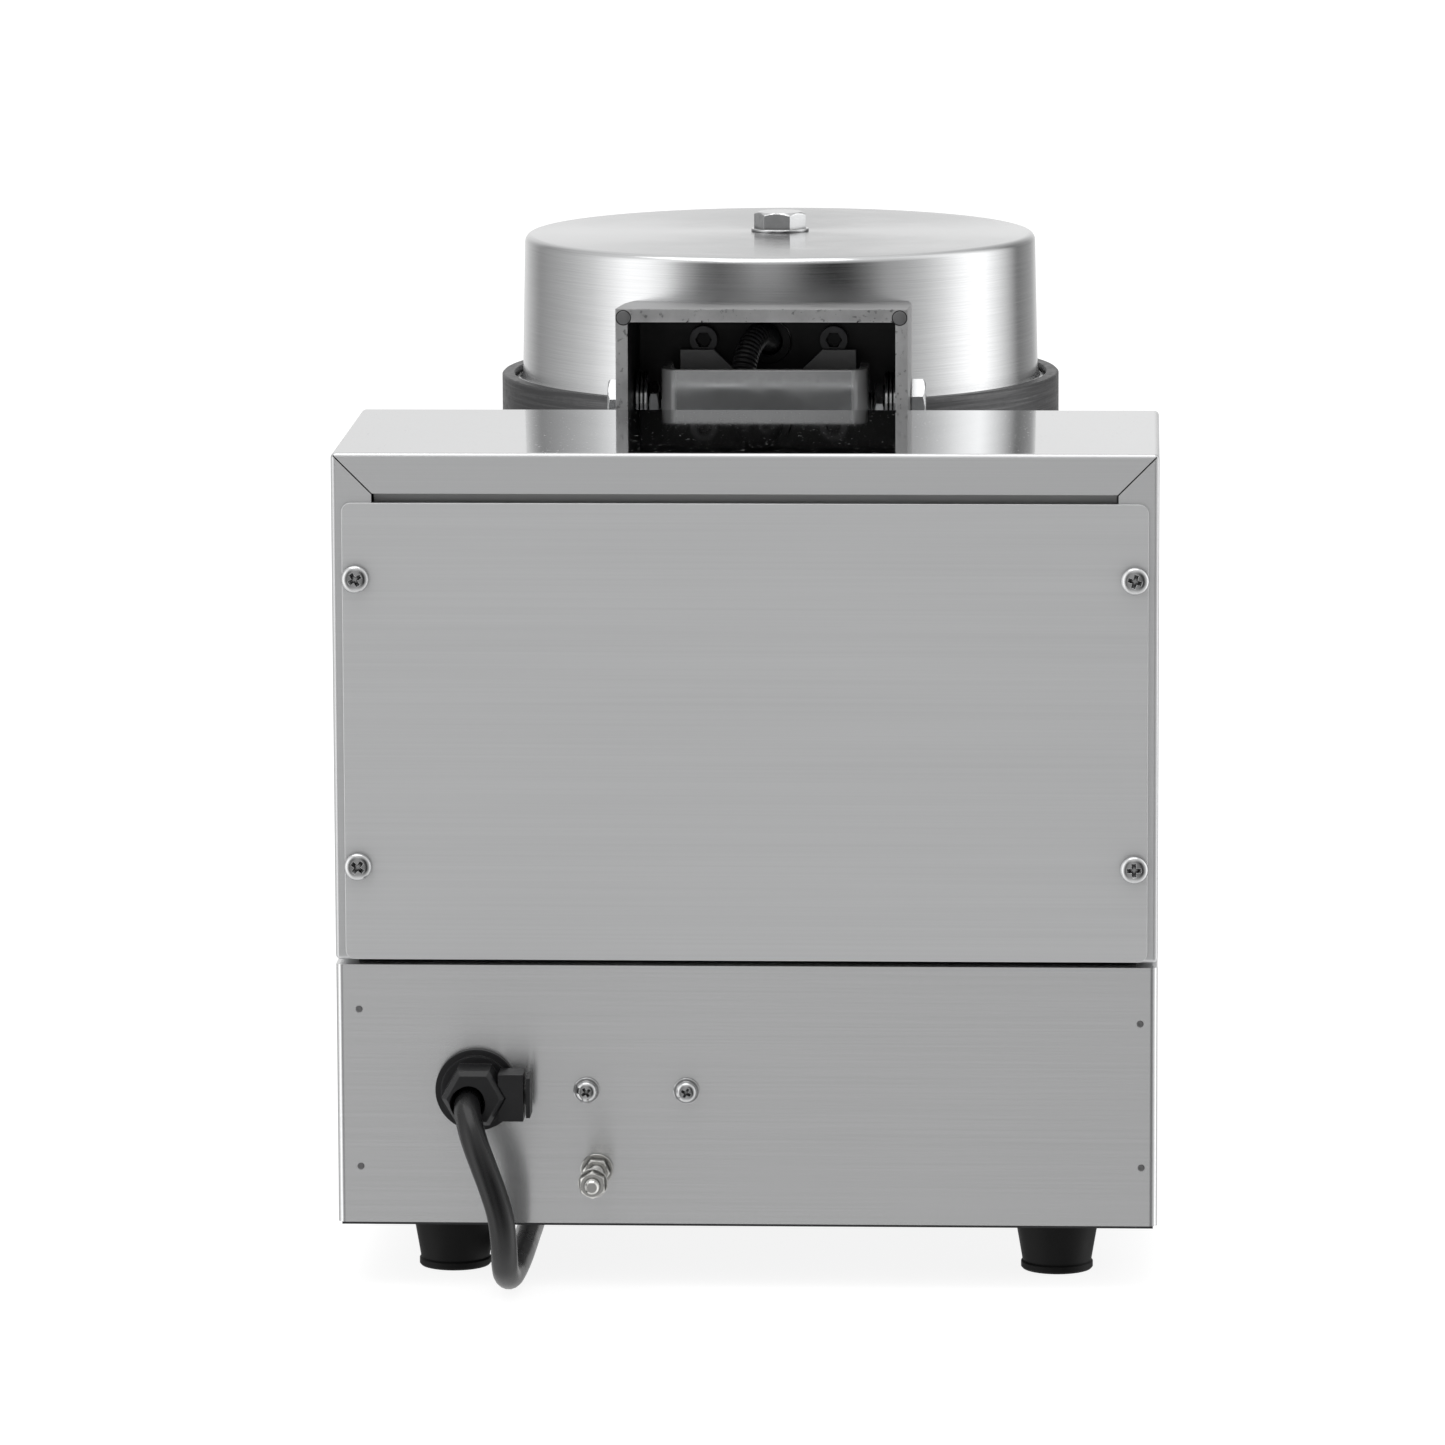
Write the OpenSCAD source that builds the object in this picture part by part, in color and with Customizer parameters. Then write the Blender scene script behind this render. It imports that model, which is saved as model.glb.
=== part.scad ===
// Counter-top donut maker: a base with the controls, a rear tower, a fixed lower mould and a
// hinged upper mould. X is the width (+X to the right seen from the front), the front faces -Y,
// Z is up. Inside each module y = -depth, measured forwards from the rear face of the housing.

/* [Housing] */
// Width of base and tower
body_w = 275; // [270:1:300]
// Depth of the base, rear face to front face
base_depth = 410; // [408:1:440]
// Height of the base box
base_h = 88; // [86:1:96]
// Height of the rubber feet
foot_h = 21; // [20:1:26]
// Depth of the rear tower
tower_depth = 122; // [112:1:122]
// Height of the rear tower
tower_h = 171; // [171:1:190]

/* [Sheet metal] */
// Sheet thickness of base and tower
sheet = 1.5; // [1:0.1:2]
// Thickness of the removable rear panel
panel_t = 1; // [0.8:0.1:1.5]
// Width of the folded flanges round the rear opening
flange_w = 13.5; // [12:0.5:15]

/* [Moulds] */
// Radius of the mould plates
plate_r = 101.4; // [100:0.1:102]
// Centre distance of the six donut rings from the mould centre
pitch_r = 65; // [64:0.5:66]
// Mean radius of one donut ring
ring_mean_r = 19.5; // [18:0.5:20]
// Radius of the ring's round section
ring_r = 10.5; // [9:0.5:11]

/* [Handle] */
// Radius of the grip
grip_r = 15; // [12:0.5:18]
// Length of the grip
grip_len = 111; // [90:1:130]

/* [Mains lead] */
// Diameter of the mains lead
cord_d = 9; // [8:0.5:9]

/* [Hidden] */
$fn = 48;
plate_t = 1;
seam = 1.5;
fit = 0.05;
gap = 0.3;
base_z = foot_h + plate_t;
base_top = base_z + base_h;
tower_z = base_top + seam;
deck_z = tower_z + tower_h;
hw = body_w / 2;

// lid hinge and moulds, by depth from the rear face
axis_d = tower_depth + 62;
axis_z = deck_z - 5;
mould_d = tower_depth + 178;
part_z = deck_z - 42.5;
half_gap = 0.25;
mould_h = 32;
lip_h = 35;
lip_in = 97;
cover_r0 = 93.8;
cover_r1 = 92.7;
cover_h = 85;
cover_t = 1.2;

// hinge frame of the lid
frame_d0 = tower_depth + 16;
frame_hw = 50.6;
frame_fw = 48.3;
frame_wall = 4.2;
frame_top = deck_z + 33;
frame_low = deck_z + 27;
wall_d = mould_d - 97.5;
wall_t = 3.5;

// fixed hinge bracket
bracket_d = tower_depth + 36;
bracket_hw = 36;
bracket_top = deck_z + 9.5;
arm_top = part_z - 14;
arm_low = part_z - 64;
arm_hw = 46;

// overall reach in front of and behind the rear face, which centres the part on Y
reach_front = mould_d + 140 + grip_len;
reach_back = 30;
y_rear = (reach_front - reach_back) / 2;

// front panel
panel_z = base_z + 44;
front_y = -base_depth;
fascia_t = 1.2;

// drip tray
tray_hw = 112;
tray_d0 = tower_depth + 14;
tray_d1 = base_depth - 12;
tray_z = base_top + 0.3;
tray_h = 16;

// mains lead: gland, route and coil
cr = cord_d / 2;
gland_x = 90.3;
gland_z = base_z + 46;
coil_x = 28;
coil_y = -base_depth - 60;
coil_r = 50;
cord_path = [
    [gland_x + 0.6, 4, gland_z],
    [gland_x + 1.6, 12, gland_z - 0.5],
    [gland_x + 2, 18.5, gland_z - 2.7],
    [gland_x + 1, 24, gland_z - 6.3],
    [gland_x - 1.2, 29.3, gland_z - 12.3],
    [gland_x - 4.4, 33.2, gland_z - 19.8],
    [gland_x - 7.6, 35, gland_z - 28],
    [80.4, 34.6, 31.6],
    [79.6, 32.1, 23.5],
    [79.6, 27.5, 16.4],
    [79.8, 21.3, 10.7],
    [79.6, 12, 6.4],
    [79.2, 2.8, cr + 0.3],
    [78.6, -10, cr + 0.1],
    [78, -60, cr + 0.1],
    [78, -200, cr + 0.1],
    [78, -base_depth + 20, cr + 0.1],
    [78, coil_y, cr + 0.1]
];
tail_path = [
    [coil_x, coil_y - coil_r, 13.6],
    [coil_x - 14, coil_y - coil_r, 14.2],
    [coil_x - 28, coil_y - coil_r, 17.6],
    [coil_x - 44, coil_y - coil_r, 18.6]
];
// flexible conduit from the lid wall down into the support arm
conduit_path = [
    [0, -wall_d - 2, deck_z + 14.5],
    [0, -wall_d + 8, deck_z + 14.5],
    [2, -axis_d + 4, deck_z + 12],
    [5, -axis_d + 11, deck_z + 3],
    [8, -axis_d + 13, deck_z - 12],
    [10, -axis_d + 13, deck_z - 30],
    [10, -axis_d + 13, arm_top - 6]
];

// box with four round vertical edges, centred on X, from y0 back to y1
module rbox(w, y0, y1, z0, z1, r) {
    h = z1 - z0;
    l = y1 - y0;
    translate([-w / 2 + r, y0, z0]) cube([w - 2 * r, l, h]);
    translate([-w / 2, y0 + r, z0]) cube([w, l - 2 * r, h]);
    for (x = [-w / 2 + r, w / 2 - r], y = [y0 + r, y1 - r])
        translate([x, y, z0]) cylinder(r = r, h = h);
}

// cylinder along Y from y0 to y1, or along X from x0 to x1
module ycyl(x, z, r, y0, y1) {
    translate([x, y0, z]) rotate([-90, 0, 0]) cylinder(r = r, h = y1 - y0);
}

module xcyl(y, z, r, x0, x1) {
    translate([x0, y, z]) rotate([0, 90, 0]) cylinder(r = r, h = x1 - x0);
}

// hexagon prism along Z from z = 0, by width across flats
module hex(af, h) {
    cylinder(r = af / sqrt(3), h = h, $fn = 6);
}

// pan head with a cross recess, standing on z = 0 and looking up
module pan_head(r, h) {
    difference() {
        rotate_extrude()
            polygon([[0, 0], [r, 0], [r, h * 0.45], [r * 0.86, h * 0.82], [r * 0.6, h], [0, h]]);
        translate([-r * 0.55, -r * 0.11, h * 0.35]) cube([r * 1.1, r * 0.22, h]);
        translate([-r * 0.11, -r * 0.55, h * 0.35]) cube([r * 0.22, r * 1.1, h]);
    }
}

// smooth curve through route points, with a tube swept along it
function pick(p, i) = p[max(0, min(len(p) - 1, i))];
function between(a, b, c, d, t) = 0.5 * (2 * b + (c - a) * t
    + (2 * a - 5 * b + 4 * c - d) * t * t + (3 * b - a - 3 * c + d) * t * t * t);
function curve(p, n) = [
    for (i = [0 : len(p) - 2], j = [0 : n - 1])
        between(pick(p, i - 1), pick(p, i), pick(p, i + 1), pick(p, i + 2), j / n),
    p[len(p) - 1]
];
function unit(v) = v / norm(v);
function along(c, i) = unit(pick(c, i + 1) - pick(c, i - 1));
function ring(c, i, r, s, ref) =
    let (t = along(c, i), u = unit(cross(t, ref)), v = cross(t, u))
    [for (k = [0 : s - 1]) c[i] + r * (cos(360 * k / s) * u + sin(360 * k / s) * v)];

module tube(c, r, s, ref) {
    n = len(c);
    pts = [for (i = [0 : n - 1]) each ring(c, i, r, s, ref)];
    walls = [
        for (i = [0 : n - 2], k = [0 : s - 1])
            [i * s + k, (i + 1) * s + k, (i + 1) * s + (k + 1) % s, i * s + (k + 1) % s]
    ];
    first = [for (k = [0 : s - 1]) k];
    last = [for (k = [s - 1 : -1 : 0]) (n - 1) * s + k];
    polyhedron(points = pts, faces = concat(walls, [first, last]), convexity = 6);
}

// everything is drawn from the rear face, then moved so that the part is centred on Y
module place() {
    translate([0, y_rear, 0]) children();
}

// positions shared by parts that fit each other
foot_xs = [-103.8, 100.9];
foot_y = [-36, -base_depth + 36];
panel_x = 129.5;
panel_zs = [tower_z + 32, tower_z + 129];
bolt_x = 110;
bolt_y = [-20, -tower_depth + 20];
term_x = [53.5, 20];
stud_x = 50.2;
stud_z = base_z + 18.4;
arm_x = 55;
arm_zs = [arm_low + 8, arm_top - 8];
ctrl = [-92, -58, -34, 12, 82];

// ---- housing ----

module base_shell() color([0.66, 0.67, 0.68]) place() difference() {
    rbox(body_w, -base_depth, 0, base_z, base_top, 2.5);
    rbox(body_w - 2 * sheet, -base_depth + sheet, -sheet, base_z - 1, base_top - sheet, 1.5);
    ycyl(gland_x, gland_z, 8.1, -3, 1);
    for (x = term_x) ycyl(x, gland_z - 0.5, 2.6, -3, 1);
    ycyl(stud_x, stud_z, 2.6, -3, 1);
    for (x = [-bolt_x, bolt_x], y = bolt_y)
        translate([x, y, base_top - 3]) cylinder(r = 3.3, h = 4);
    translate([-30, -75, base_top - 3]) cube([60, 40, 4]);
    translate([ctrl[0] - 9.5, front_y - 1, panel_z - 14]) cube([19, 4, 28]);
    for (i = [1, 2]) ycyl(ctrl[i], panel_z, 5.1, front_y - 1, front_y + 3);
    for (i = [3, 4]) ycyl(ctrl[i], panel_z, 6.1, front_y - 1, front_y + 3);
}

module bottom_plate() color([0.3, 0.31, 0.32]) place() difference() {
    rbox(body_w - 7, -base_depth + 3.5, -3.5, foot_h, base_z, 2);
    for (x = foot_xs, y = foot_y)
        translate([x, y, foot_h - 1]) cylinder(r = 2.6, h = 4);
    for (x = [-60 : 20 : 60])
        translate([x - 2.5, -260, foot_h - 1]) cube([5, 70, 4]);
}

module feet() color([0.06, 0.06, 0.06]) place()
    for (x = foot_xs, y = foot_y)
        translate([x, y, 0]) rotate_extrude()
            polygon([
                [6, 0], [11.7, 0], [12.2, 0.6], [12.2, 2.4], [11.7, 3], [14.8, foot_h],
                [2.7, foot_h], [2.7, 7], [6, 7]
            ]);

module foot_screws() color([0.75, 0.76, 0.78]) place()
    for (x = foot_xs, y = foot_y)
        translate([x, y, 7]) {
            rotate([180, 0, 0]) pan_head(4.8, 3.2);
            cylinder(r = 2.4, h = foot_h - 1);
            translate([0, 0, base_z - 7]) hex(8, 4);
        }

module tower_gasket() color([0.07, 0.07, 0.07]) place() difference() {
    rbox(body_w - 14, -tower_depth + 7, -7, base_top, tower_z, 2);
    for (x = [-bolt_x, bolt_x], y = bolt_y)
        translate([x, y, base_top - 1]) cylinder(r = 3.3, h = 4);
    translate([-30, -75, base_top - 1]) cube([60, 40, 4]);
}

module tower_shell() color([0.68, 0.69, 0.7]) place() difference() {
    rbox(body_w, -tower_depth, 0, tower_z, deck_z, 2);
    translate([-hw + sheet, -tower_depth + sheet, tower_z + sheet])
        cube([body_w - 2 * sheet, tower_depth - 2 * sheet, tower_h - 2 * sheet]);
    translate([-hw + flange_w, -3, tower_z + 12])
        cube([body_w - 2 * flange_w, 4, tower_h - 12 - flange_w]);
    for (x = [-panel_x, panel_x], z = panel_zs) ycyl(x, z, 2.6, -3, 1);
    for (x = [-bolt_x, bolt_x], y = bolt_y)
        translate([x, y, tower_z - 1]) cylinder(r = 3.3, h = 4);
    translate([-30, -75, tower_z - 1]) cube([60, 40, 4]);
    for (x = [-arm_x, arm_x], z = arm_zs)
        ycyl(x, z, 4.2, -tower_depth - 1, -tower_depth + 3);
    ycyl(0, arm_low + 25, 14, -tower_depth - 1, -tower_depth + 3);
}

module rear_panel() color([0.7, 0.71, 0.72]) place() difference() {
    translate([0, panel_t, 0]) rotate([90, 0, 0]) linear_extrude(panel_t) {
        translate([-131, tower_z + 0.5]) square([262, tower_h - flange_w - 3.5]);
        translate([-134, tower_z + 3.5]) square([268, tower_h - flange_w - 9.5]);
        for (x = [-131, 131], z = [tower_z + 3.5, deck_z - flange_w - 6])
            translate([x, z]) circle(r = 3);
    }
    for (x = [-panel_x, panel_x], z = panel_zs) ycyl(x, z, 2.7, -1, 2);
}

module panel_screws() color([0.78, 0.79, 0.8]) place()
    for (x = [-panel_x, panel_x], z = panel_zs)
        translate([x, panel_t, z]) {
            rotate([-90, x * 0.37, 0]) pan_head(4.7, 3.1);
            rotate([90, 0, 0]) cylinder(r = 2.5, h = 9);
            translate([0, -panel_t - sheet, 0]) rotate([90, 0, 0]) hex(8, 4);
        }

module tower_bolts() color([0.75, 0.76, 0.78]) place()
    for (x = [-bolt_x, bolt_x], y = bolt_y)
        translate([x, y, 0]) {
            translate([0, 0, tower_z + sheet]) hex(10, 4);
            translate([0, 0, base_top - sheet - 9]) cylinder(r = 3, h = 17);
            translate([0, 0, base_top - sheet - 5]) hex(10, 5);
        }

// ---- mains connection ----

module terminal_block() color([0.85, 0.84, 0.8]) place() difference() {
    translate([8, -27, gland_z - 12]) cube([58, 25.5, 23]);
    for (x = term_x) ycyl(x, gland_z - 0.5, 2.1, -28, -1);
    for (x = [28.5, 37, 45.5]) {
        translate([x, -14, gland_z + 2]) cylinder(r = 3, h = 10);
        ycyl(x, gland_z - 3, 2.5, -28, -12);
    }
}

module terminal_screws() color([0.78, 0.79, 0.8]) place()
    for (x = term_x)
        translate([x, 0, gland_z - 0.5]) {
            rotate([-90, 0, 0]) difference() {
                cylinder(r = 4.4, h = 0.9);
                translate([0, 0, 0.89]) cylinder(r = 10, h = 1);
            }
            translate([0, 0.9, 0]) rotate([-90, 0, 0]) cylinder(r = 3.6, h = 1.1);
            translate([0, 2, 0]) rotate([-90, x, 0]) pan_head(3.5, 2.6);
            rotate([90, 0, 0]) cylinder(r = 2, h = 16);
        }

module earth_stud() color([0.8, 0.8, 0.78]) place() translate([stud_x, 0, stud_z]) {
    rotate([90, 0, 0]) cylinder(r = 2.5, h = 7);
    translate([0, -sheet, 0]) rotate([90, 15, 0]) hex(8, 4);
    rotate([-90, 0, 0]) cylinder(r = 2.5, h = reach_back - 1);
    translate([0, reach_back - 1, 0]) rotate([-90, 0, 0]) cylinder(r1 = 2.5, r2 = 1.8, h = 1);
    rotate([-90, 0, 0]) cylinder(r = 5.5, h = 1.2);
    translate([0, 1.2, 0]) rotate([-90, 22, 0]) hex(8, 4);
    translate([0, 21.6, 0]) rotate([-90, 0, 0]) cylinder(r = 5, h = 1);
    translate([0, 22.6, 0]) rotate([-90, 4, 0]) hex(8, 4);
}

module gland_body() color([0.05, 0.05, 0.05]) place() difference() {
    union() {
        ycyl(gland_x, gland_z, 8, -12, 0);
        ycyl(gland_x, gland_z, 13.8, 0, 3.5);
        ycyl(gland_x, gland_z, 11.8, 3.5, 5);
        translate([gland_x, 5, gland_z]) rotate([-90, 0, 0]) hex(18.5, 12);
        translate([gland_x, 17, gland_z]) rotate([-90, 0, 0])
            cylinder(r1 = 10.68, r2 = 8.9, h = 2, $fn = 6);
    }
    ycyl(gland_x, gland_z, 5, -13, 3);
    ycyl(gland_x + 1.5, gland_z - 0.8, 5.2, 2, 20);
    translate([gland_x + 1.9, 14, gland_z - 1.8]) rotate([-90, 0, 0])
        cylinder(r1 = 5, r2 = 6.1, h = 6);
}

module gland_clamp() color([0.07, 0.07, 0.07]) place() difference() {
    union() {
        translate([gland_x - 16.6, 5.5, gland_z - 7.8]) cube([8.4, 12, 15.8]);
        translate([gland_x - 18.9, 5.5, gland_z - 6.6]) cube([1.4, 12, 13.4]);
        xcyl(11.5, gland_z + 0.2, 3.4, gland_x - 18, gland_x - 16);
    }
    translate([gland_x, 0, gland_z]) rotate([-90, 0, 0]) hex(18.7, 30);
    translate([gland_x - 20, 10.9, gland_z - 4]) cube([1.8, 1.2, 8.4]);
}

module gland_nut() color([0.08, 0.08, 0.08]) place() difference() {
    translate([gland_x, -sheet, gland_z]) rotate([90, 0, 0]) hex(22, 5);
    ycyl(gland_x, gland_z, 8.1, -8, 0);
}

module cord() color([0.05, 0.05, 0.05]) place() tube(curve(cord_path, 6), cr, 10, [1, 0.02, 0]);

module cord_coil() color([0.05, 0.05, 0.05]) place() translate([coil_x, coil_y, 0])
    rotate_extrude()
        polygon([
            [coil_r - cord_d, cr], [coil_r - cr, 0], [coil_r + cr, 0], [coil_r + cord_d, cr],
            [coil_r + cord_d, 3 * cr], [coil_r + cr, 4 * cr], [coil_r - cr, 4 * cr],
            [coil_r - cord_d, 3 * cr]
        ]);

module cord_tail() color([0.05, 0.05, 0.05]) place() tube(curve(tail_path, 4), cr, 10, [0, 1, 0.02]);

module plug_body() color([0.06, 0.06, 0.06]) place()
    translate([coil_x - 40, coil_y - coil_r, 18.7]) rotate([0, -90, 0]) difference() {
        rotate_extrude()
            polygon([
                [0, 0], [6.2, 0], [7.2, 16], [10, 18], [15, 26], [18.5, 34], [18.5, 44],
                [17.2, 46], [17.2, 50], [18.6, 52], [18.6, 60], [18, 61], [0, 61]
            ]);
        for (s = [-1, 1]) translate([s * 18.5 - 2, -2.5, 48]) cube([4, 5, 20]);
    }

module plug_pins() color([0.8, 0.78, 0.7]) place()
    for (s = [-1, 1])
        translate([coil_x - 101, coil_y - coil_r + s * 9.5, 18.7]) rotate([0, -90, 0]) {
            cylinder(r = 2.4, h = 17.6);
            translate([0, 0, 17.6]) cylinder(r1 = 2.4, r2 = 1.2, h = 1.4);
        }

// ---- front panel and controls ----

module control_panel() color([0.12, 0.12, 0.13]) place() difference() {
    rbox(body_w - 21, front_y - fascia_t, front_y, panel_z - 34, panel_z + 34, 0.4);
    translate([ctrl[0] - 9.5, front_y - 3, panel_z - 14]) cube([19, 4, 28]);
    for (i = [1, 2]) ycyl(ctrl[i], panel_z, 5.1, front_y - 3, front_y + 1);
    for (i = [3, 4]) ycyl(ctrl[i], panel_z, 6.1, front_y - 3, front_y + 1);
}

module switch_housing() color([0.04, 0.04, 0.04]) place() difference() {
    union() {
        translate([ctrl[0] - 9.2, front_y - fascia_t, panel_z - 13.7]) cube([18.4, 24, 27.4]);
        translate([ctrl[0] - 12, front_y - fascia_t - 2, panel_z - 16]) cube([24, 2, 32]);
    }
    translate([ctrl[0] - 7.5, front_y - fascia_t - 3, panel_z - 12.7]) cube([15, 14, 25.4]);
    xcyl(front_y + 3, panel_z, 1.55, ctrl[0] - 8.5, ctrl[0] + 8.5);
}

module switch_rocker() color([0.55, 0.05, 0.04]) place()
    translate([ctrl[0], front_y + 3, panel_z]) rotate([8, 0, 0]) {
        xcyl(0, 0, 1.5, -8.3, 8.3);
        translate([-7, 0, 0]) rotate([90, 0, 90]) linear_extrude(14)
            polygon([[-7.8, -11.4], [-5.8, 0], [-7.8, 11.4], [-0.5, 10.9], [2.5, 0], [-0.5, -10.9]]);
    }

module lamp(x) {
    ycyl(x, panel_z, 4.9, front_y - fascia_t, front_y + 16);
    translate([x, front_y - fascia_t, panel_z]) rotate([90, 0, 0]) rotate_extrude()
        polygon([[0, 0], [7, 0], [7, 1.2], [5.4, 2], [5.2, 4], [4, 5.6], [2, 6.4], [0, 6.6]]);
}

module power_lamp() color([0.1, 0.55, 0.15, 0.8]) place() lamp(ctrl[1]);

module heat_lamp() color([0.9, 0.4, 0.05, 0.8]) place() lamp(ctrl[2]);

// control body with a threaded neck through the front and a running bore for the knob's shaft
module dial_body(x, r, l) {
    difference() {
        union() {
            ycyl(x, panel_z, r, front_y + sheet, front_y + sheet + l);
            ycyl(x, panel_z, 5, front_y - fascia_t - 5, front_y + sheet);
            translate([x, front_y - fascia_t, panel_z]) rotate([90, 0, 0]) hex(14, 2.5);
        }
        ycyl(x, panel_z, 3 + fit, front_y - 10, front_y + 12);
    }
}

module knob(x, skirt, r) {
    translate([x, front_y - fascia_t, panel_z]) rotate([90, 0, 0]) {
        translate([0, 0, -12]) cylinder(r = 3, h = 14);
        difference() {
            rotate_extrude()
                polygon([
                    [0, 6.5], [9.5, 6.5], [9.5, 0.8], [skirt, 0.8], [skirt, 2.6], [r + 1, 5],
                    [r, 22], [r - 1.5, 24], [0, 24]
                ]);
            for (a = [15 : 30 : 345])
                rotate([0, 0, a]) translate([r + 2.6, 0, 7]) cylinder(r = 3.6, h = 20);
            translate([-0.7, r - 7, 23.2]) cube([1.4, 8, 2]);
        }
        cylinder(r = 3, h = 7);
    }
}

module thermostat_body() color([0.7, 0.68, 0.6]) place() dial_body(ctrl[3], 20, 28);

module thermostat_knob() color([0.05, 0.05, 0.05]) place() knob(ctrl[3], 22, 16);

module timer_body() color([0.68, 0.69, 0.7]) place() dial_body(ctrl[4], 24, 36);

module timer_knob() color([0.05, 0.05, 0.05]) place() knob(ctrl[4], 22, 16);

// ---- drip tray ----

module tray_rails() color([0.75, 0.76, 0.77]) place() {
    for (s = [-1, 1])
        translate([s * (tray_hw + 3.2) - 0.6, -tray_d1, base_top])
            cube([1.2, tray_d1 - tray_d0 + 4, 9]);
    for (s = [-1, 1])
        translate([s > 0 ? tray_hw + 3.2 : -tray_hw - 13.2, -tray_d1, base_top])
            cube([10, tray_d1 - tray_d0 + 4, 1.2]);
    translate([-tray_hw, -tray_d0 + 1.5, base_top]) cube([2 * tray_hw, 1.2, 9]);
}

module drip_tray() color([0.78, 0.79, 0.8]) place() {
    difference() {
        rbox(2 * tray_hw, -tray_d1, -tray_d0, tray_z, tray_z + tray_h, 6);
        rbox(2 * tray_hw - 2.4, -tray_d1 + 1.2, -tray_d0 - 1.2, tray_z + 1.2, tray_z + 30, 5);
    }
    translate([-45, 0, 0]) rotate([90, 0, 90]) linear_extrude(90)
        polygon([
            [-tray_d1 + 0.2, tray_z + tray_h], [-tray_d1 - 22, tray_z + tray_h + 3],
            [-tray_d1 - 24, tray_z + tray_h - 3], [-tray_d1 - 22.6, tray_z + tray_h - 3.4],
            [-tray_d1 - 21, tray_z + tray_h + 1.4], [-tray_d1 + 0.2, tray_z + tray_h - 1.4]
        ]);
}

// ---- fixed support and hinge bracket ----

module mould_shape(r, z0, z1) {
    translate([0, -mould_d, z0]) cylinder(r = r, h = z1 - z0);
}

module support_arm() color([0.72, 0.73, 0.74]) place() difference() {
    union() {
        translate([-arm_hw, -mould_d + 60, arm_low])
            cube([2 * arm_hw, mould_d - 60 - tower_depth, arm_top - arm_low]);
        translate([-62, -tower_depth - 5, arm_low]) cube([124, 5, arm_top - arm_low]);
    }
    translate([-arm_hw + 4, -mould_d - 10, arm_low + 4])
        cube([2 * arm_hw - 8, mould_d, arm_top - arm_low - 8]);
    mould_shape(plate_r + gap, part_z - lip_h - 3, part_z + 5);
    mould_shape(cover_r0 + 3.5, arm_low - 5, part_z - lip_h);
    for (x = [-arm_x, arm_x], z = arm_zs)
        ycyl(x, z, 4.2, -tower_depth - 6, -tower_depth + 1);
    translate([10, -axis_d + 13, arm_top - 9]) cylinder(r = 7.1, h = 12);
    for (x = [-26, 26]) translate([x, -bracket_d - 13, arm_top - 9]) cylinder(r = 3.2, h = 12);
    for (x = [-20, 20]) translate([x, -mould_d + 110, arm_top - 9]) cylinder(r = 4.2, h = 12);
}

module arm_bolts() color([0.75, 0.76, 0.78]) place()
    for (x = [-arm_x, arm_x], z = arm_zs)
        translate([x, -tower_depth, z]) {
            translate([0, -5, 0]) rotate([90, 0, 0]) hex(13, 5.3);
            translate([0, 9, 0]) rotate([90, 0, 0]) cylinder(r = 4, h = 14.5);
            translate([0, sheet, 0]) rotate([-90, 0, 0]) hex(13, 6);
        }

module lug_bolts() color([0.75, 0.76, 0.78]) place()
    for (x = [-20, 20])
        translate([x, -mould_d + 110, arm_top]) {
            hex(13, 5.3);
            translate([0, 0, -19]) cylinder(r = 4, h = 20);
        }

module hinge_bracket() color([0.8, 0.81, 0.82]) place() difference() {
    union() {
        translate([-bracket_hw, -bracket_d - 3, arm_top])
            cube([2 * bracket_hw, 3, bracket_top - arm_top]);
        translate([-bracket_hw, -bracket_d - 22, arm_top]) cube([2 * bracket_hw, 22, 3]);
        for (x = [-bracket_hw, bracket_hw - 3]) {
            translate([x, -axis_d, axis_z - 14]) cube([3, axis_d - bracket_d, 14]);
            translate([x, -axis_d, axis_z]) cube([3, axis_d - bracket_d, bracket_top - axis_z]);
            translate([x, -axis_d, axis_z - 14]) cube([3, 1, 28]);
            xcyl(-axis_d, axis_z, 14, x, x + 3);
            translate([x, -bracket_d - 14, arm_top]) cube([3, 14, axis_z - arm_top]);
        }
    }
    xcyl(-axis_d, axis_z, 4.1, -50, 50);
    translate([10, -axis_d + 13, arm_top - 5]) cylinder(r = 7.1, h = 12);
    for (x = [-26, 26]) translate([x, -bracket_d - 13, arm_top - 5]) cylinder(r = 3.2, h = 12);
}

module bracket_screws() color([0.75, 0.76, 0.78]) place()
    for (x = [-26, 26])
        translate([x, -bracket_d - 13, arm_top]) {
            translate([0, 0, 3]) hex(10, 4);
            translate([0, 0, -9]) cylinder(r = 3, h = 13);
            translate([0, 0, -9]) hex(10, 5);
        }

module side_bolt() {
    translate([0, 0, frame_hw + gap]) hex(13.5, 5.3);
    translate([0, 0, 46.1]) cylinder(r = 5, h = frame_hw + gap - 46.1);
    translate([0, 0, 29]) cylinder(r = 4, h = 18);
    translate([0, 0, 37.8]) rotate([0, 0, 15]) hex(13, 3.8);
    translate([0, 0, 29]) hex(13, 4);
}

module hinge_bolts() color([0.75, 0.76, 0.78]) place()
    for (s = [-1, 1]) translate([0, -axis_d, axis_z]) rotate([0, s * 90, 0]) side_bolt();

module hinge_washers() color([0.7, 0.71, 0.73]) place()
    for (s = [-1, 1], i = [0, 1, 2])
        translate([0, -axis_d, axis_z]) rotate([0, s * 90, 0])
            translate([0, 0, 41.6 + 1.5 * i]) difference() {
                cylinder(r = 11.5 - (i == 1 ? 0.4 : 0), h = 1.3);
                translate([0, 0, -1]) cylinder(r = 4.2, h = 4);
            }

module arm_grommet() color([0.07, 0.07, 0.07]) place()
    translate([10, -axis_d + 13, arm_top]) difference() {
        union() {
            translate([0, 0, -4]) cylinder(r = 7, h = 7);
            translate([0, 0, 3]) cylinder(r = 8.8, h = 2.5);
        }
        translate([0, 0, -5]) cylinder(r = 4.9, h = 12);
    }

// ---- moulds: one half, parting plane at z = 0 and growing upwards ----

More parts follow.
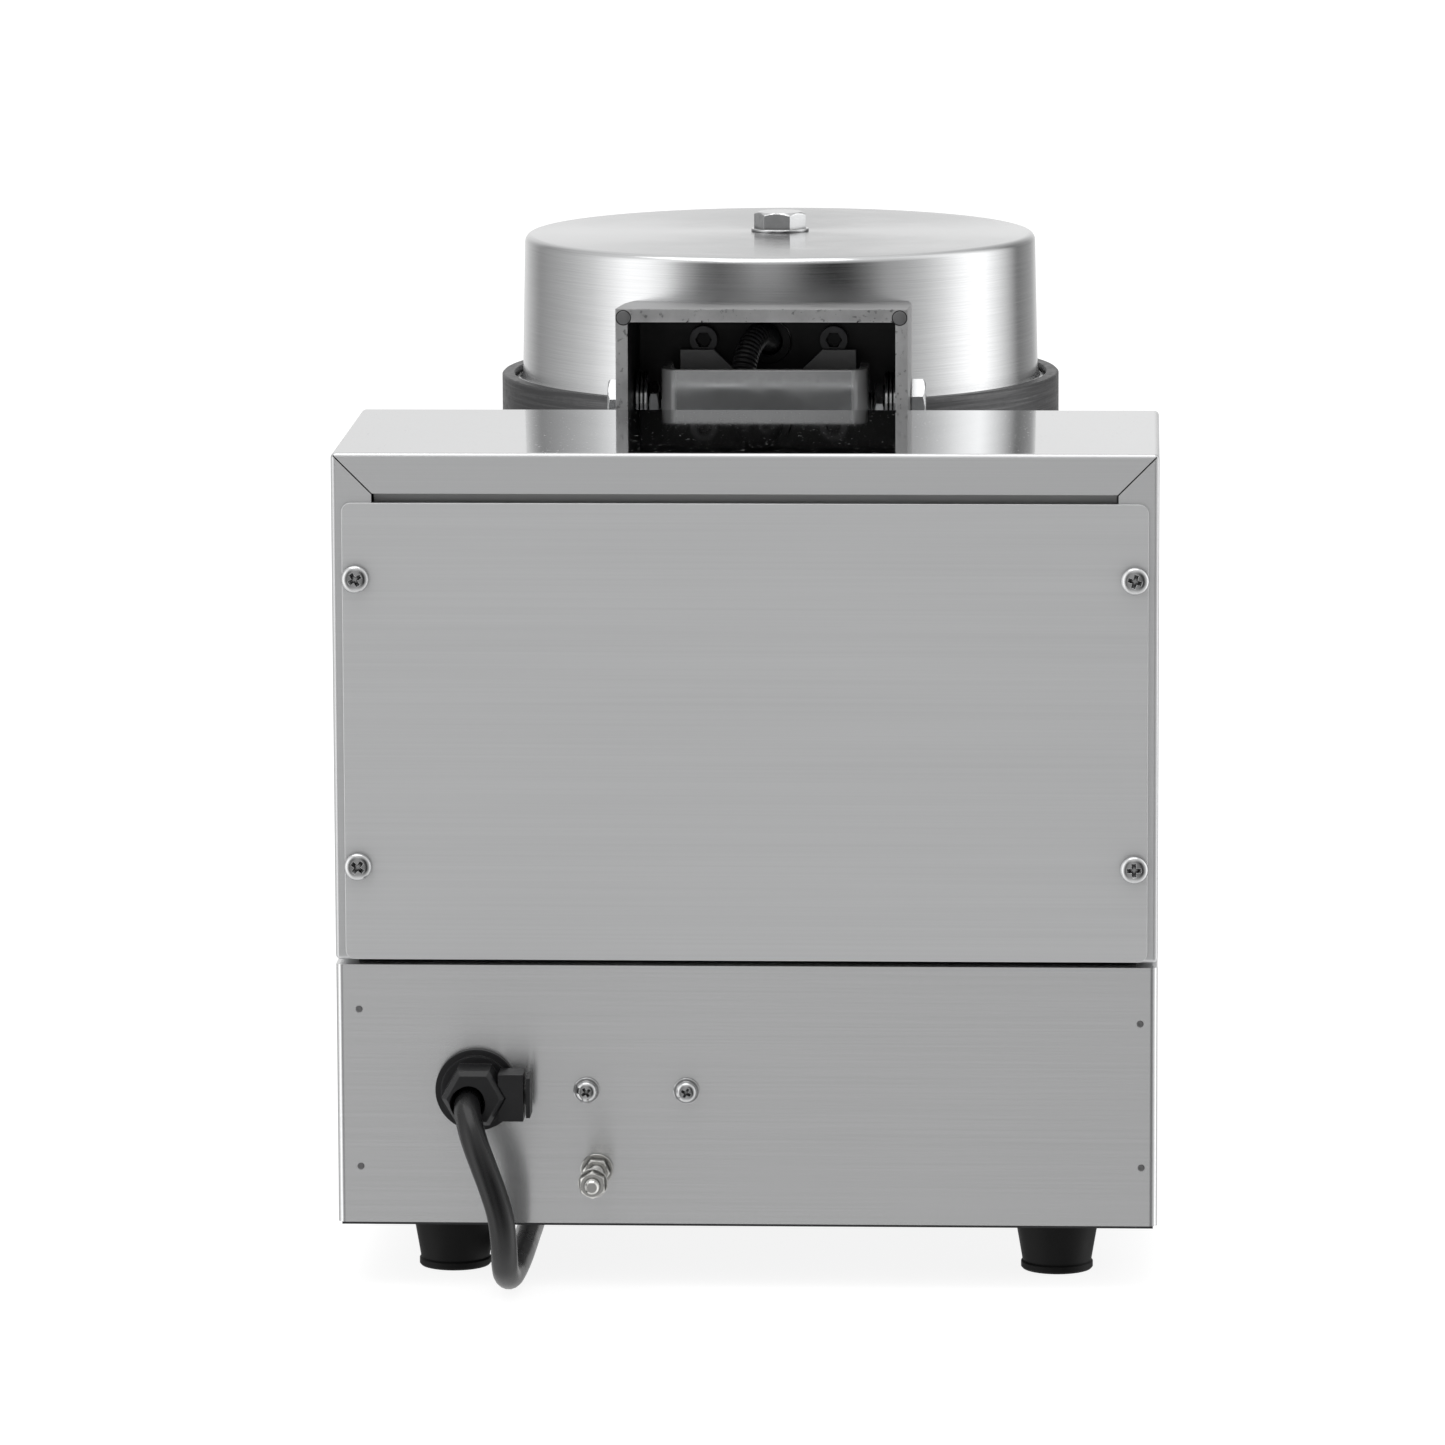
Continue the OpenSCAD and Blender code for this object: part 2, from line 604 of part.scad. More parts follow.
module half_mould() {
    difference() {
        rotate_extrude($fn = 96)
            polygon([
                [0, 0], [plate_r - 1, 0], [plate_r, 1], [plate_r, lip_h - 0.6],
                [plate_r - 0.6, lip_h], [lip_in, lip_h], [lip_in, mould_h], [88, mould_h],
                [88, 22], [12, 22], [12, 30], [0, 30]
            ]);
        for (a = [0 : 60 : 300])
            rotate([0, 0, a + 30]) translate([pitch_r, 0, -half_gap])
                rotate_extrude() translate([ring_mean_r, 0]) circle(r = ring_r);
        cylinder(r = 5.1, h = 60);
    }
}

module half_heater() {
    difference() {
        translate([0, 0, 22]) cylinder(r = 84, h = 6);
        translate([0, 0, 21]) cylinder(r = 14, h = 9);
    }
    rotate_extrude() translate([60, 31.3]) circle(r = 3.3, $fn = 32);
    rotate_extrude() translate([34, 31.3]) circle(r = 3.3, $fn = 32);
}

module half_cover() {
    difference() {
        rotate_extrude($fn = 96)
            polygon([
                [lip_in - 1, mould_h], [lip_in - 1, mould_h + cover_t],
                [cover_r0 + 1.2, mould_h + cover_t], [cover_r0, mould_h + cover_t + 1.6],
                [cover_r1, cover_h - 2.2], [cover_r1 - 0.7, cover_h - 0.7],
                [cover_r1 - 2.2, cover_h], [5.3, cover_h], [5.3, cover_h - cover_t],
                [cover_r1 - 2.4, cover_h - cover_t], [cover_r1 - cover_t, cover_h - 2.4],
                [cover_r0 - cover_t, mould_h]
            ]);
        children();
    }
}

module half_bolt() {
    translate([0, 0, cover_h]) cylinder(r = 10.5, h = 1.2);
    difference() {
        translate([0, 0, cover_h + 1.2]) hex(16.5, 7);
        translate([0, 0, cover_h + 6.2]) difference() {
            cylinder(r = 12, h = 3);
            cylinder(r1 = 10.1, r2 = 7.3, h = 2.01);
        }
    }
    translate([0, 0, 12]) cylinder(r = 5, h = cover_h - 10);
}

module upper() {
    translate([0, -mould_d, part_z]) children();
}

module lower() {
    translate([0, -mould_d, part_z]) mirror([0, 0, 1]) children();
}

module lower_mould() color([0.16, 0.16, 0.17]) place() {
    difference() {
        union() {
            lower() translate([0, 0, half_gap]) half_mould();
            translate([-36, -mould_d + 84, part_z - 32]) cube([72, 36, 14]);
        }
        mould_shape(88, part_z - 60, part_z - half_gap - 22);
        for (x = [-20, 20])
            translate([x, -mould_d + 110, part_z - 60]) cylinder(r = 4.1, h = 60);
    }
    for (a = [30, 150, 270])
        lower() rotate([0, 0, a]) translate([93.5, -4, 0]) cube([5, 8, half_gap + 1]);
}

module lower_heater() color([0.45, 0.43, 0.42]) place() lower() translate([0, 0, half_gap]) half_heater();

module lower_cover() color([0.8, 0.81, 0.82]) place() lower() translate([0, 0, half_gap]) half_cover();

module lower_bolt() color([0.75, 0.76, 0.78]) place() lower() translate([0, 0, half_gap]) half_bolt();

// ---- lid ----

module upper_mould() color([0.16, 0.16, 0.17]) place() upper() translate([0, 0, half_gap]) half_mould();

module upper_heater() color([0.45, 0.43, 0.42]) place() upper() translate([0, 0, half_gap]) half_heater();

module upper_cover() color([0.8, 0.81, 0.82]) place() upper() translate([0, 0, half_gap])
    half_cover() {
        for (x = [-23, 23]) ycyl(x, deck_z + 15.5 - part_z - half_gap, 3.2, 60, 120);
        ycyl(0, deck_z + 14.5 - part_z - half_gap, 6.4, 60, 120);
        for (x = [-20, 20]) ycyl(x, 66, 3.2, -120, -60);
    }

module upper_bolt() color([0.75, 0.76, 0.78]) place() upper() translate([0, 0, half_gap]) half_bolt();

// side view of the frame as an outline of depth and height, thinner by t at the top and front
module frame_side(t) {
    polygon([
        [frame_d0 - (t > 0 ? 1 : 0), axis_z - 9], [frame_d0 - (t > 0 ? 1 : 0), frame_top - t],
        [mould_d - 70, frame_low - 1 - t], [mould_d - 70, part_z + 35.7],
        [mould_d - 96, part_z + 35.7], [axis_d + 12, axis_z - 10], [axis_d + 7, axis_z - 13],
        [axis_d - 7, axis_z - 13], [axis_d - 20, axis_z - 10]
    ]);
}

// plan outline of the frame, narrower towards the mould
module frame_plan(t) {
    polygon([
        [-frame_hw + t, -frame_d0 + 1], [frame_hw - t, -frame_d0 + 1],
        [frame_hw - t, -frame_d0 - 56], [frame_fw - t, -mould_d + 68],
        [-frame_fw + t, -mould_d + 68], [-frame_hw + t, -frame_d0 - 56]
    ]);
}

module cover_cone(extra) {
    translate([0, -mould_d, part_z + mould_h + half_gap])
        cylinder(r1 = cover_r0 + extra, r2 = cover_r1 + extra, h = cover_h - mould_h, $fn = 96);
}

module hinge_frame() color([0.1, 0.1, 0.105]) place() difference() {
    union() {
        difference() {
            intersection() {
                translate([60, 0, 0]) rotate([90, 0, -90]) linear_extrude(120) frame_side(0);
                translate([0, 0, axis_z - 40]) linear_extrude(100) frame_plan(0);
            }
            translate([0, 0, axis_z - 41]) linear_extrude(frame_low - 5.6 - axis_z + 41)
                frame_plan(frame_wall);
            intersection() {
                translate([60, 0, 0]) rotate([90, 0, -90]) linear_extrude(120)
                    frame_side(4.6);
                translate([0, 0, axis_z - 40]) linear_extrude(100) frame_plan(frame_wall);
            }
        }
        translate([-frame_hw + frame_wall, -wall_d - wall_t, part_z + 35.8])
            cube([2 * (frame_hw - frame_wall), wall_t, 33]);
        for (x = [-23, 23]) ycyl(x, deck_z + 15.5, 7, -wall_d - 8, -wall_d);
        xcyl(-axis_d, axis_z, 13, -frame_hw, -frame_hw + frame_wall);
        xcyl(-axis_d, axis_z, 13, frame_hw - frame_wall, frame_hw);
    }
    cover_cone(0.2);
    mould_shape(plate_r + 0.5, part_z, part_z + lip_h + half_gap + 0.2);
    xcyl(-axis_d, axis_z, 5 + fit, -60, 60);
    for (x = [-23, 23]) ycyl(x, deck_z + 15.5, 3.1, -wall_d - 20, -wall_d + 5);
    ycyl(0, deck_z + 14.5, 7.8, -wall_d - 10, -wall_d + 5);
}

module frame_screws() color([0.5, 0.5, 0.52]) place()
    for (x = [-23, 23])
        translate([x, -wall_d, deck_z + 15.5]) {
            difference() {
                rotate([-90, 0, 0]) cylinder(r = 4.9, h = 5.4);
                translate([0, 2.4, 0]) rotate([-90, 0, 0]) hex(5, 5);
            }
            rotate([90, 0, 0]) cylinder(r = 3, h = 20);
            translate([0, -14, 0]) rotate([90, 0, 0]) hex(10, 5);
        }

module notch_plate() color([0.55, 0.55, 0.56]) place() {
    translate([0, -wall_d + 9.5, 0]) rotate([90, 0, 0]) linear_extrude(2)
        polygon([
            [-31, part_z + 35.8], [31, part_z + 35.8], [31, deck_z + 12.5],
            [19.2, deck_z + 12.5], [12.4, deck_z + 6], [12.4, part_z + 41],
            [-12.4, part_z + 41], [-12.4, deck_z + 6], [-19.2, deck_z + 12.5],
            [-31, deck_z + 12.5]
        ]);
    translate([-31, -wall_d, part_z + 35.8]) cube([62, 8, 2]);
}

module conduit_nut() color([0.6, 0.6, 0.6]) place() translate([0, -wall_d, deck_z + 14.5])
    difference() {
        union() {
            rotate([90, 0, 0]) cylinder(r = 6.3, h = 14);
            rotate([-90, 0, 0]) cylinder(r = 7.6, h = 2);
            translate([0, -9, 0]) rotate([90, 0, 0]) cylinder(r = 6.3, h = 5);
        }
        rotate([90, 0, 0]) translate([0, 0, -5]) cylinder(r = 4.8, h = 30);
    }

module conduit() color([0.1, 0.1, 0.1]) place() tube(curve(conduit_path, 8), 4.5, 12, [1, 0.1, 0.1]);

// handle bracket on the front of the lid, with the rod and the heat-proof grip
hand_z = part_z + 51;
hand_d = mould_d + 84;

module handle_bracket() color([0.1, 0.1, 0.105]) place() difference() {
    translate([32.5, 0, 0]) rotate([90, 0, -90]) linear_extrude(65)
        polygon([
            [mould_d + 80, part_z + 38], [mould_d + 80, part_z + 84],
            [mould_d + 100, part_z + 84], [mould_d + 128, part_z + 75],
            [mould_d + 128, part_z + 38]
        ]);
    translate([28.5, 0, 0]) rotate([90, 0, -90]) linear_extrude(57)
        polygon([
            [mould_d + 100, part_z + 37], [mould_d + 100, part_z + 79.8],
            [mould_d + 124, part_z + 72.1], [mould_d + 124, part_z + 37]
        ]);
    cover_cone(0.2);
    ycyl(0, hand_z, 5.1, -mould_d - 135, -mould_d - 120);
    for (x = [-20, 20]) ycyl(x, part_z + 66.25, 3.1, -mould_d - 105, -mould_d - 80);
}

module handle_screws() color([0.5, 0.5, 0.52]) place()
    for (x = [-20, 20])
        translate([x, -mould_d - 100, part_z + 66.25]) {
            difference() {
                rotate([90, 0, 0]) cylinder(r = 4.9, h = 5.4);
                translate([0, -2.4, 0]) rotate([90, 0, 0]) hex(5, 5);
            }
            rotate([-90, 0, 0]) cylinder(r = 3, h = 19);
            translate([0, 13.4, 0]) rotate([-90, 0, 0]) hex(10, 4);
        }

module handle_rod() color([0.78, 0.79, 0.8]) place() {
    ycyl(0, hand_z, 5, -mould_d - 160, -mould_d - 116);
    translate([0, -mould_d - 124, hand_z]) rotate([-90, 0, 0]) hex(17, 7);
    translate([0, -mould_d - 128, hand_z]) rotate([90, 0, 0]) hex(17, 7);
}

module handle_grip() color([0.04, 0.04, 0.04]) place() difference() {
    translate([0, -mould_d - 140, hand_z]) rotate([90, 0, 0]) rotate_extrude()
        polygon([
            [0, 0], [10, 0], [12, 2], [grip_r - 1, 12], [grip_r, 40],
            [grip_r, grip_len - 30], [grip_r + 1.5, grip_len - 14],
            [grip_r, grip_len - 5], [grip_r - 5, grip_len - 1], [0, grip_len]
        ]);
    ycyl(0, hand_z, 5.1, -mould_d - 161, -mould_d - 130);
}

base_shell();
bottom_plate();
feet();
foot_screws();
tower_gasket();
tower_shell();
rear_panel();
panel_screws();
tower_bolts();
terminal_block();
terminal_screws();
earth_stud();
gland_body();
gland_clamp();
gland_nut();
cord();
cord_coil();
cord_tail();
plug_body();
plug_pins();
control_panel();
switch_housing();
switch_rocker();
power_lamp();
heat_lamp();
thermostat_body();
thermostat_knob();
timer_body();
timer_knob();
tray_rails();
drip_tray();
support_arm();
arm_bolts();
lug_bolts();
hinge_bracket();
bracket_screws();
hinge_bolts();
hinge_washers();
arm_grommet();
lower_mould();
lower_heater();
lower_cover();
lower_bolt();
upper_mould();
upper_heater();
upper_cover();
upper_bolt();
hinge_frame();
frame_screws();
notch_plate();
conduit_nut();
conduit();
handle_bracket();
handle_screws();
handle_rod();
handle_grip();
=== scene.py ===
import math
import bpy
import bmesh
from mathutils import Matrix, Vector


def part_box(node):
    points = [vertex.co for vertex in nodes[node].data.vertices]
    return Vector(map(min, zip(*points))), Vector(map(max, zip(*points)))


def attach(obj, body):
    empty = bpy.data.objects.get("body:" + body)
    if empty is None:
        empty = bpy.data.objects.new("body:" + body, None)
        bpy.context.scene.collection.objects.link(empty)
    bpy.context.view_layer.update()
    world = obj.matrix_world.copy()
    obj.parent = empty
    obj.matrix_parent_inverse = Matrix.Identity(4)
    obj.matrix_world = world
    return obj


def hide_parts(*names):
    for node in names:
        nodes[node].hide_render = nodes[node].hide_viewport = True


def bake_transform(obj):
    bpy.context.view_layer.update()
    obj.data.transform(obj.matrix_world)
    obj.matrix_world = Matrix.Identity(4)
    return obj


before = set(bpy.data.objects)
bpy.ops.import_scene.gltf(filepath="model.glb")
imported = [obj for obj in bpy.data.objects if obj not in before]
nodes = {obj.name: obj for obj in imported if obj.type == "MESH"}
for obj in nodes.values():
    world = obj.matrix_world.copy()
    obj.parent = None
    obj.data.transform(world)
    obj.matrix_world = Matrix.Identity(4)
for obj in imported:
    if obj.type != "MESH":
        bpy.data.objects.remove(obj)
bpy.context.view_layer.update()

# millimetres: x, depth forwards from the rear face of the housing, z up
PANEL_T = 1.0
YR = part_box("rear_panel")[1].y * 1000 - PANEL_T
TOWER_Z, TOWER_H, TOWER_D = 111.5, 171.0, 122.0
DECK = TOWER_Z + TOWER_H
CONTROLS_Z = 66.0
MOULD_D, PART_Z = 300.0, 240.0
AXIS_D, AXIS_Z = 184.0, 277.5
FRAME_D, FRAME_IN = 138.0, 46.6


def pt(x, d, z):
    return Vector((x / 1000, (YR - d) / 1000, z / 1000))


# ---------------------------------------------------------------- materials

def material(name):
    m = bpy.data.materials.new(name)
    m.use_nodes = True
    t = m.node_tree
    b = t.nodes["Principled BSDF"]
    return m, t, b


def math_node(t, op, a, b=None, c=None, clamp=False):
    n = t.nodes.new("ShaderNodeMath")
    n.operation = op
    n.use_clamp = clamp
    for i, v in enumerate((a, b, c)):
        if v is None:
            continue
        if isinstance(v, (int, float)):
            n.inputs[i].default_value = v
        else:
            t.links.new(v, n.inputs[i])
    return n.outputs[0]


def object_coords(t):
    return t.nodes.new("ShaderNodeTexCoord").outputs["Object"]


def noise(t, vec, scale, detail=3.0, rough=0.55, stretch=None):
    if stretch:
        mp = t.nodes.new("ShaderNodeMapping")
        mp.inputs["Scale"].default_value = stretch
        t.links.new(vec, mp.inputs["Vector"])
        vec = mp.outputs[0]
    n = t.nodes.new("ShaderNodeTexNoise")
    n.inputs["Scale"].default_value = scale
    n.inputs["Detail"].default_value = detail
    n.inputs["Roughness"].default_value = rough
    t.links.new(vec, n.inputs["Vector"])
    return n.outputs["Fac"]


def mapped(t, fac, lo, hi, f0=0.3, f1=0.7):
    n = t.nodes.new("ShaderNodeMapRange")
    n.inputs["From Min"].default_value = f0
    n.inputs["From Max"].default_value = f1
    n.inputs["To Min"].default_value = lo
    n.inputs["To Max"].default_value = hi
    t.links.new(fac, n.inputs["Value"])
    return n.outputs[0]


def mix_color(t, fac, a, b):
    n = t.nodes.new("ShaderNodeMix")
    n.data_type = "RGBA"
    if isinstance(fac, (int, float)):
        n.inputs["Factor"].default_value = fac
    else:
        t.links.new(fac, n.inputs["Factor"])
    for sock, v in ((n.inputs[6], a), (n.inputs[7], b)):
        if isinstance(v, (tuple, list)):
            sock.default_value = (*v, 1.0) if len(v) == 3 else v
        else:
            t.links.new(v, sock)
    return n.outputs[2]


def bump(t, b, height, strength, distance=0.0002, edge=0.0):
    n = t.nodes.new("ShaderNodeBump")
    n.inputs["Strength"].default_value = strength
    n.inputs["Distance"].default_value = distance
    t.links.new(height, n.inputs["Height"])
    if edge:
        e = t.nodes.new("ShaderNodeBevel")
        e.samples = 4
        e.inputs["Radius"].default_value = edge
        t.links.new(e.outputs[0], n.inputs["Normal"])
    t.links.new(n.outputs[0], b.inputs["Normal"])


def shaded(color, share):
    """The colour darker or lighter by a share of itself."""
    return tuple(min(1, v * (1 + share)) for v in color)


def brushed(name, color, rough=0.28, grain=0.35, aniso=0.6, edge=0.0, stretch=(7, 7, 1500),
            tone=0.08, smear=0.06, metallic=1.0):
    """Sheet steel brushed along the horizontal."""
    m, t, b = material(name)
    co = object_coords(t)
    fine = noise(t, co, 1.0, 4.0, 0.6, stretch)
    broad = noise(t, co, 6.0, 2.0, 0.5)
    c = mix_color(t, mapped(t, fine, 0.0, 1.0), shaded(color, -tone), shaded(color, tone))
    t.links.new(c, b.inputs["Base Color"])
    r = math_node(t, "ADD", mapped(t, fine, rough - smear, rough + smear), mapped(t, broad, -0.025, 0.025))
    t.links.new(r, b.inputs["Roughness"])
    b.inputs["Metallic"].default_value = metallic
    if aniso:
        b.inputs["Anisotropic"].default_value = aniso
        b.inputs["Anisotropic Rotation"].default_value = 0.25
        tg = t.nodes.new("ShaderNodeTangent")
        tg.direction_type = "RADIAL"
        tg.axis = "Z"
        t.links.new(tg.outputs[0], b.inputs["Tangent"])
    bump(t, b, fine, grain, 0.00006, edge)
    return m


def metal(name, color, rough=0.2, spots=0.3, edge=0.0004, scale=220.0):
    """Plain plated or polished metal with faint wear, and painted shade darkening its recesses."""
    m, t, b = material(name)
    co = object_coords(t)
    n1 = noise(t, co, scale, 4.0, 0.6)
    # painted shade: ambient occlusion darkens the colour in recesses and creases
    ao = t.nodes.new("ShaderNodeAmbientOcclusion")
    ao.samples = 6
    ao.inputs["Distance"].default_value = 0.0013
    shade = mapped(t, ao.outputs["AO"], 0.0, 1.0, 0.35, 0.9)
    clean = mix_color(t, mapped(t, n1, 0.0, 1.0), shaded(color, -0.1), color)
    t.links.new(mix_color(t, shade, shaded(color, -0.88), clean), b.inputs["Base Color"])
    t.links.new(mapped(t, n1, rough - 0.05, rough + 0.07), b.inputs["Roughness"])
    b.inputs["Metallic"].default_value = 1.0
    bump(t, b, n1, spots * 0.3, 0.00004, edge)
    return m


def plain(name, color, rough=0.5, grain=0.25, scale=900.0, edge=0.0004, coat=0.0, spec=0.5):
    """Rubber, plastic or paint with a fine texture."""
    m, t, b = material(name)
    co = object_coords(t)
    n1 = noise(t, co, scale, 3.0, 0.6)
    n2 = noise(t, co, scale / 12, 3.0, 0.6)
    tone = 0.12
    c = mix_color(t, mapped(t, n2, 0.0, 1.0), shaded(color, -tone), shaded(color, tone))
    t.links.new(c, b.inputs["Base Color"])
    t.links.new(mapped(t, n2, rough - 0.05, rough + 0.06), b.inputs["Roughness"])
    b.inputs["Specular IOR Level"].default_value = spec
    if coat:
        b.inputs["Coat Weight"].default_value = coat
        b.inputs["Coat Roughness"].default_value = 0.08
    bump(t, b, n1, grain, 0.00008, edge)
    return m


FINE_GRAIN = (9, 9, 2200)
mat_wrap = brushed("housing_steel", (0.79, 0.795, 0.80), 0.20, 0.06, aniso=0.9, tone=0.03,
                   stretch=FINE_GRAIN, smear=0.0, metallic=0.84)
# painted shade: the lip's steel is darker to stand for the shade in the slot
mat_shaded_lip = brushed("shaded_lip_steel", (0.46, 0.463, 0.466), 0.35, 0.10, aniso=0.0, tone=0.05, metallic=0.6)
mat_panel = brushed("panel_steel", (0.66, 0.665, 0.67), 0.40, 0.15, tone=0.03,
                    stretch=(5, 5, 1200), metallic=0.55)
mat_tray = brushed("tray_steel", (0.62, 0.625, 0.63), 0.30, 0.25, aniso=0.0, edge=0.0005)
mat_arm = brushed("arm_steel", (0.50, 0.505, 0.51), 0.34, 0.3, aniso=0.0, edge=0.0008)
mat_zinc = metal("zinc_steel", (0.72, 0.725, 0.73), 0.17, 0.3, 0.0003)
mat_stud = metal("stud_steel", (0.74, 0.735, 0.71), 0.20, 0.3, 0.0003)
mat_blackscrew = metal("black_screw", (0.11, 0.11, 0.113), 0.34, 0.3, 0.0003)
mat_notch = metal("notch_steel", (0.36, 0.36, 0.365), 0.38, 0.5, 0.0003, 120.0)
mat_bolt = metal("bolt_steel", (0.56, 0.565, 0.57), 0.22, 0.3, 0.0003)
mat_rod = metal("rod_steel", (0.70, 0.705, 0.71), 0.15, 0.2)
mat_handle = metal("handle_grey", (0.36, 0.36, 0.363), 0.36, 0.5, 0.0007, 120.0)
mat_heater = metal("heater_metal", (0.36, 0.345, 0.33), 0.5, 0.8, 0.0004, 160.0)
mat_control = metal("control_metal", (0.6, 0.6, 0.6), 0.35, 0.4)
mat_pin = metal("pin_metal", (0.76, 0.74, 0.66), 0.16, 0.2)
mat_rubber = plain("foot_rubber", (0.008, 0.008, 0.008), 0.5, 0.4, 1200.0, 0.0005, spec=0.12)
# dark steel; the strip under the housing's rear face uses it as a painted shadow line
mat_dark = plain("dark_steel", (0.030, 0.030, 0.032), 0.5, 0.3, spec=0.3)
mat_gland = plain("gland_plastic", (0.014, 0.014, 0.015), 0.34, 0.45, 1500.0, 0.0005, spec=0.4)
mat_cord = plain("cord_rubber", (0.011, 0.011, 0.0115), 0.27, 0.15, 700.0, 0.0, spec=0.4)
mat_conduit = plain("conduit_black", (0.035, 0.035, 0.036), 0.3, 0.1, 500.0, 0.0)
mat_plug = plain("plug_rubber", (0.024, 0.024, 0.024), 0.48, 0.35, 1100.0, 0.0006)
mat_ceramic = plain("terminal_ceramic", (0.80, 0.79, 0.75), 0.25, 0.1, 300.0)
mat_fascia = plain("fascia", (0.030, 0.030, 0.033), 0.42, 0.25, 1600.0, 0.0003)
mat_knob = plain("knob_plastic", (0.018, 0.018, 0.018), 0.38, 0.25, 1400.0, 0.0005)
mat_grip = plain("grip_phenolic", (0.012, 0.012, 0.012), 0.22, 0.06, 300.0, 0.0005, coat=0.4)
mat_switch = plain("switch_black", (0.014, 0.014, 0.014), 0.3, 0.1, 900.0, 0.0004)
mat_mark = plain("mark_white", (0.82, 0.82, 0.80), 0.5, 0.1, 700.0, 0.0)


def mould_material():
    """Dark casting with a turned rim that catches the light."""
    m, t, b = material("mould_metal")
    co = object_coords(t)
    n1 = noise(t, co, 420.0, 5.0, 0.65)
    lines = noise(t, co, 1.0, 4.0, 0.7, (22, 22, 900))
    wear = math_node(t, "MULTIPLY", mapped(t, lines, 0.0, 1.0, 0.45, 0.75), mapped(t, n1, 0.2, 1.0))
    t.links.new(mix_color(t, wear, (0.085, 0.085, 0.087), (0.22, 0.22, 0.222)), b.inputs["Base Color"])
    b.inputs["Metallic"].default_value = 1.0
    t.links.new(mapped(t, n1, 0.36, 0.52), b.inputs["Roughness"])
    bump(t, b, math_node(t, "ADD", n1, lines), 0.35, 0.0001, 0.0006)
    return m


def frame_material():
    """Casting: black inside, satin grey outside, milled bare metal on the rear edges."""
    m, t, b = material("frame_black")
    co = object_coords(t)
    sep = t.nodes.new("ShaderNodeSeparateXYZ")
    t.links.new(co, sep.inputs[0])
    x, y, z = sep.outputs
    n1 = noise(t, co, 500.0, 4.0, 0.6)
    n2 = noise(t, co, 60.0, 4.0, 0.65)
    rear = math_node(t, "GREATER_THAN", y, (YR - FRAME_D - 0.35) / 1000)
    nick = mapped(t, n1, 0.0, 1.0, 0.60, 0.66)
    rear = math_node(t, "MULTIPLY", rear, math_node(t, "SUBTRACT", 1.0, nick, clamp=True))
    ax = math_node(t, "ABSOLUTE", x)
    side_in = math_node(t, "LESS_THAN", ax, FRAME_IN / 1000)
    # the top's underside is at this height at the rear and falls by 6 mm in 92 mm forwards
    top_z, fall = 0.3114, -6 / 92
    depth = math_node(t, "SUBTRACT", (YR - FRAME_D) / 1000, y)
    under = math_node(t, "LESS_THAN", z, math_node(t, "MULTIPLY_ADD", depth, fall, top_z))
    inside = math_node(t, "MULTIPLY", side_in, under)
    outer = mix_color(t, mapped(t, n2, 0.0, 1.0), (0.24, 0.24, 0.243), (0.34, 0.34, 0.342))
    body = mix_color(t, inside, outer, (0.012, 0.012, 0.013))
    milled = mix_color(t, mapped(t, n2, 0.0, 1.0), (0.39, 0.39, 0.392), (0.58, 0.58, 0.582))
    t.links.new(mix_color(t, rear, body, milled), b.inputs["Base Color"])
    bare = math_node(t, "SUBTRACT", 1.0, inside)
    satin = math_node(t, "MULTIPLY_ADD", rear, -0.5, 1.0)
    t.links.new(math_node(t, "MULTIPLY", bare, satin), b.inputs["Metallic"])
    t.links.new(mapped(t, n2, 0.34, 0.46), b.inputs["Roughness"])
    bump(t, b, math_node(t, "ADD", n1, n2), 0.25, 0.0001, 0.0007)
    return m


def cover_material():
    """Spun cover, brushed round its side, its top painted a little darker across the middle as a painted
    reflection.
    """
    m = brushed("cover_steel", (0.68, 0.685, 0.69), 0.19, 0.22, aniso=0.8, stretch=(26, 26, 3200),
                tone=0.07, smear=0.05)
    t = m.node_tree
    b = t.nodes["Principled BSDF"]
    co = t.nodes.new("ShaderNodeTexCoord")
    turn = t.nodes.new("ShaderNodeSeparateXYZ")
    t.links.new(co.outputs["Normal"], turn.inputs[0])
    place = t.nodes.new("ShaderNodeSeparateXYZ")
    t.links.new(co.outputs["Object"], place.inputs[0])
    # painted reflection: a darker band across the middle of the flat top
    flat = mapped(t, math_node(t, "ABSOLUTE", turn.outputs[2]), 0.0, 1.0, 0.90, 0.99)
    off = math_node(t, "ABSOLUTE", math_node(t, "ADD", place.outputs[0], 0.012))
    painted_dark_band = math_node(t, "MULTIPLY", flat, mapped(t, off, 1.0, 0.12, 0.0, 0.088))
    base = b.inputs["Base Color"].links[0].from_socket
    shade = math_node(t, "MULTIPLY", painted_dark_band, 0.75)
    t.links.new(mix_color(t, shade, base, (0.40, 0.403, 0.406)), b.inputs["Base Color"])
    return m


def bracket_material():
    """Polished channel, satin at its bends and along its top edge, with painted highlights lightening its
    colour there.
    """
    m = metal("bracket_steel", (0.62, 0.625, 0.63), 0.13, 0.1, 0.0006, 90.0)
    t = m.node_tree
    b = t.nodes["Principled BSDF"]
    sep = t.nodes.new("ShaderNodeSeparateXYZ")
    t.links.new(object_coords(t), sep.inputs[0])
    # painted highlights: pale bands on the bends and a pale line along the top edge
    ends = mapped(t, math_node(t, "ABSOLUTE", sep.outputs[0]), 0.0, 1.0, 0.0300, 0.0314)
    edge = mapped(t, sep.outputs[2], 0.0, 1.0, 0.2912, 0.2918)
    satin = math_node(t, "MAXIMUM", ends, edge)
    t.links.new(math_node(t, "MULTIPLY_ADD", satin, -0.62, 1.0), b.inputs["Metallic"])
    base = b.inputs["Base Color"].links[0].from_socket
    painted_highlight = math_node(t, "MULTIPLY", satin, 0.8)
    t.links.new(mix_color(t, painted_highlight, base, (0.86, 0.865, 0.87)), b.inputs["Base Color"])
    return m


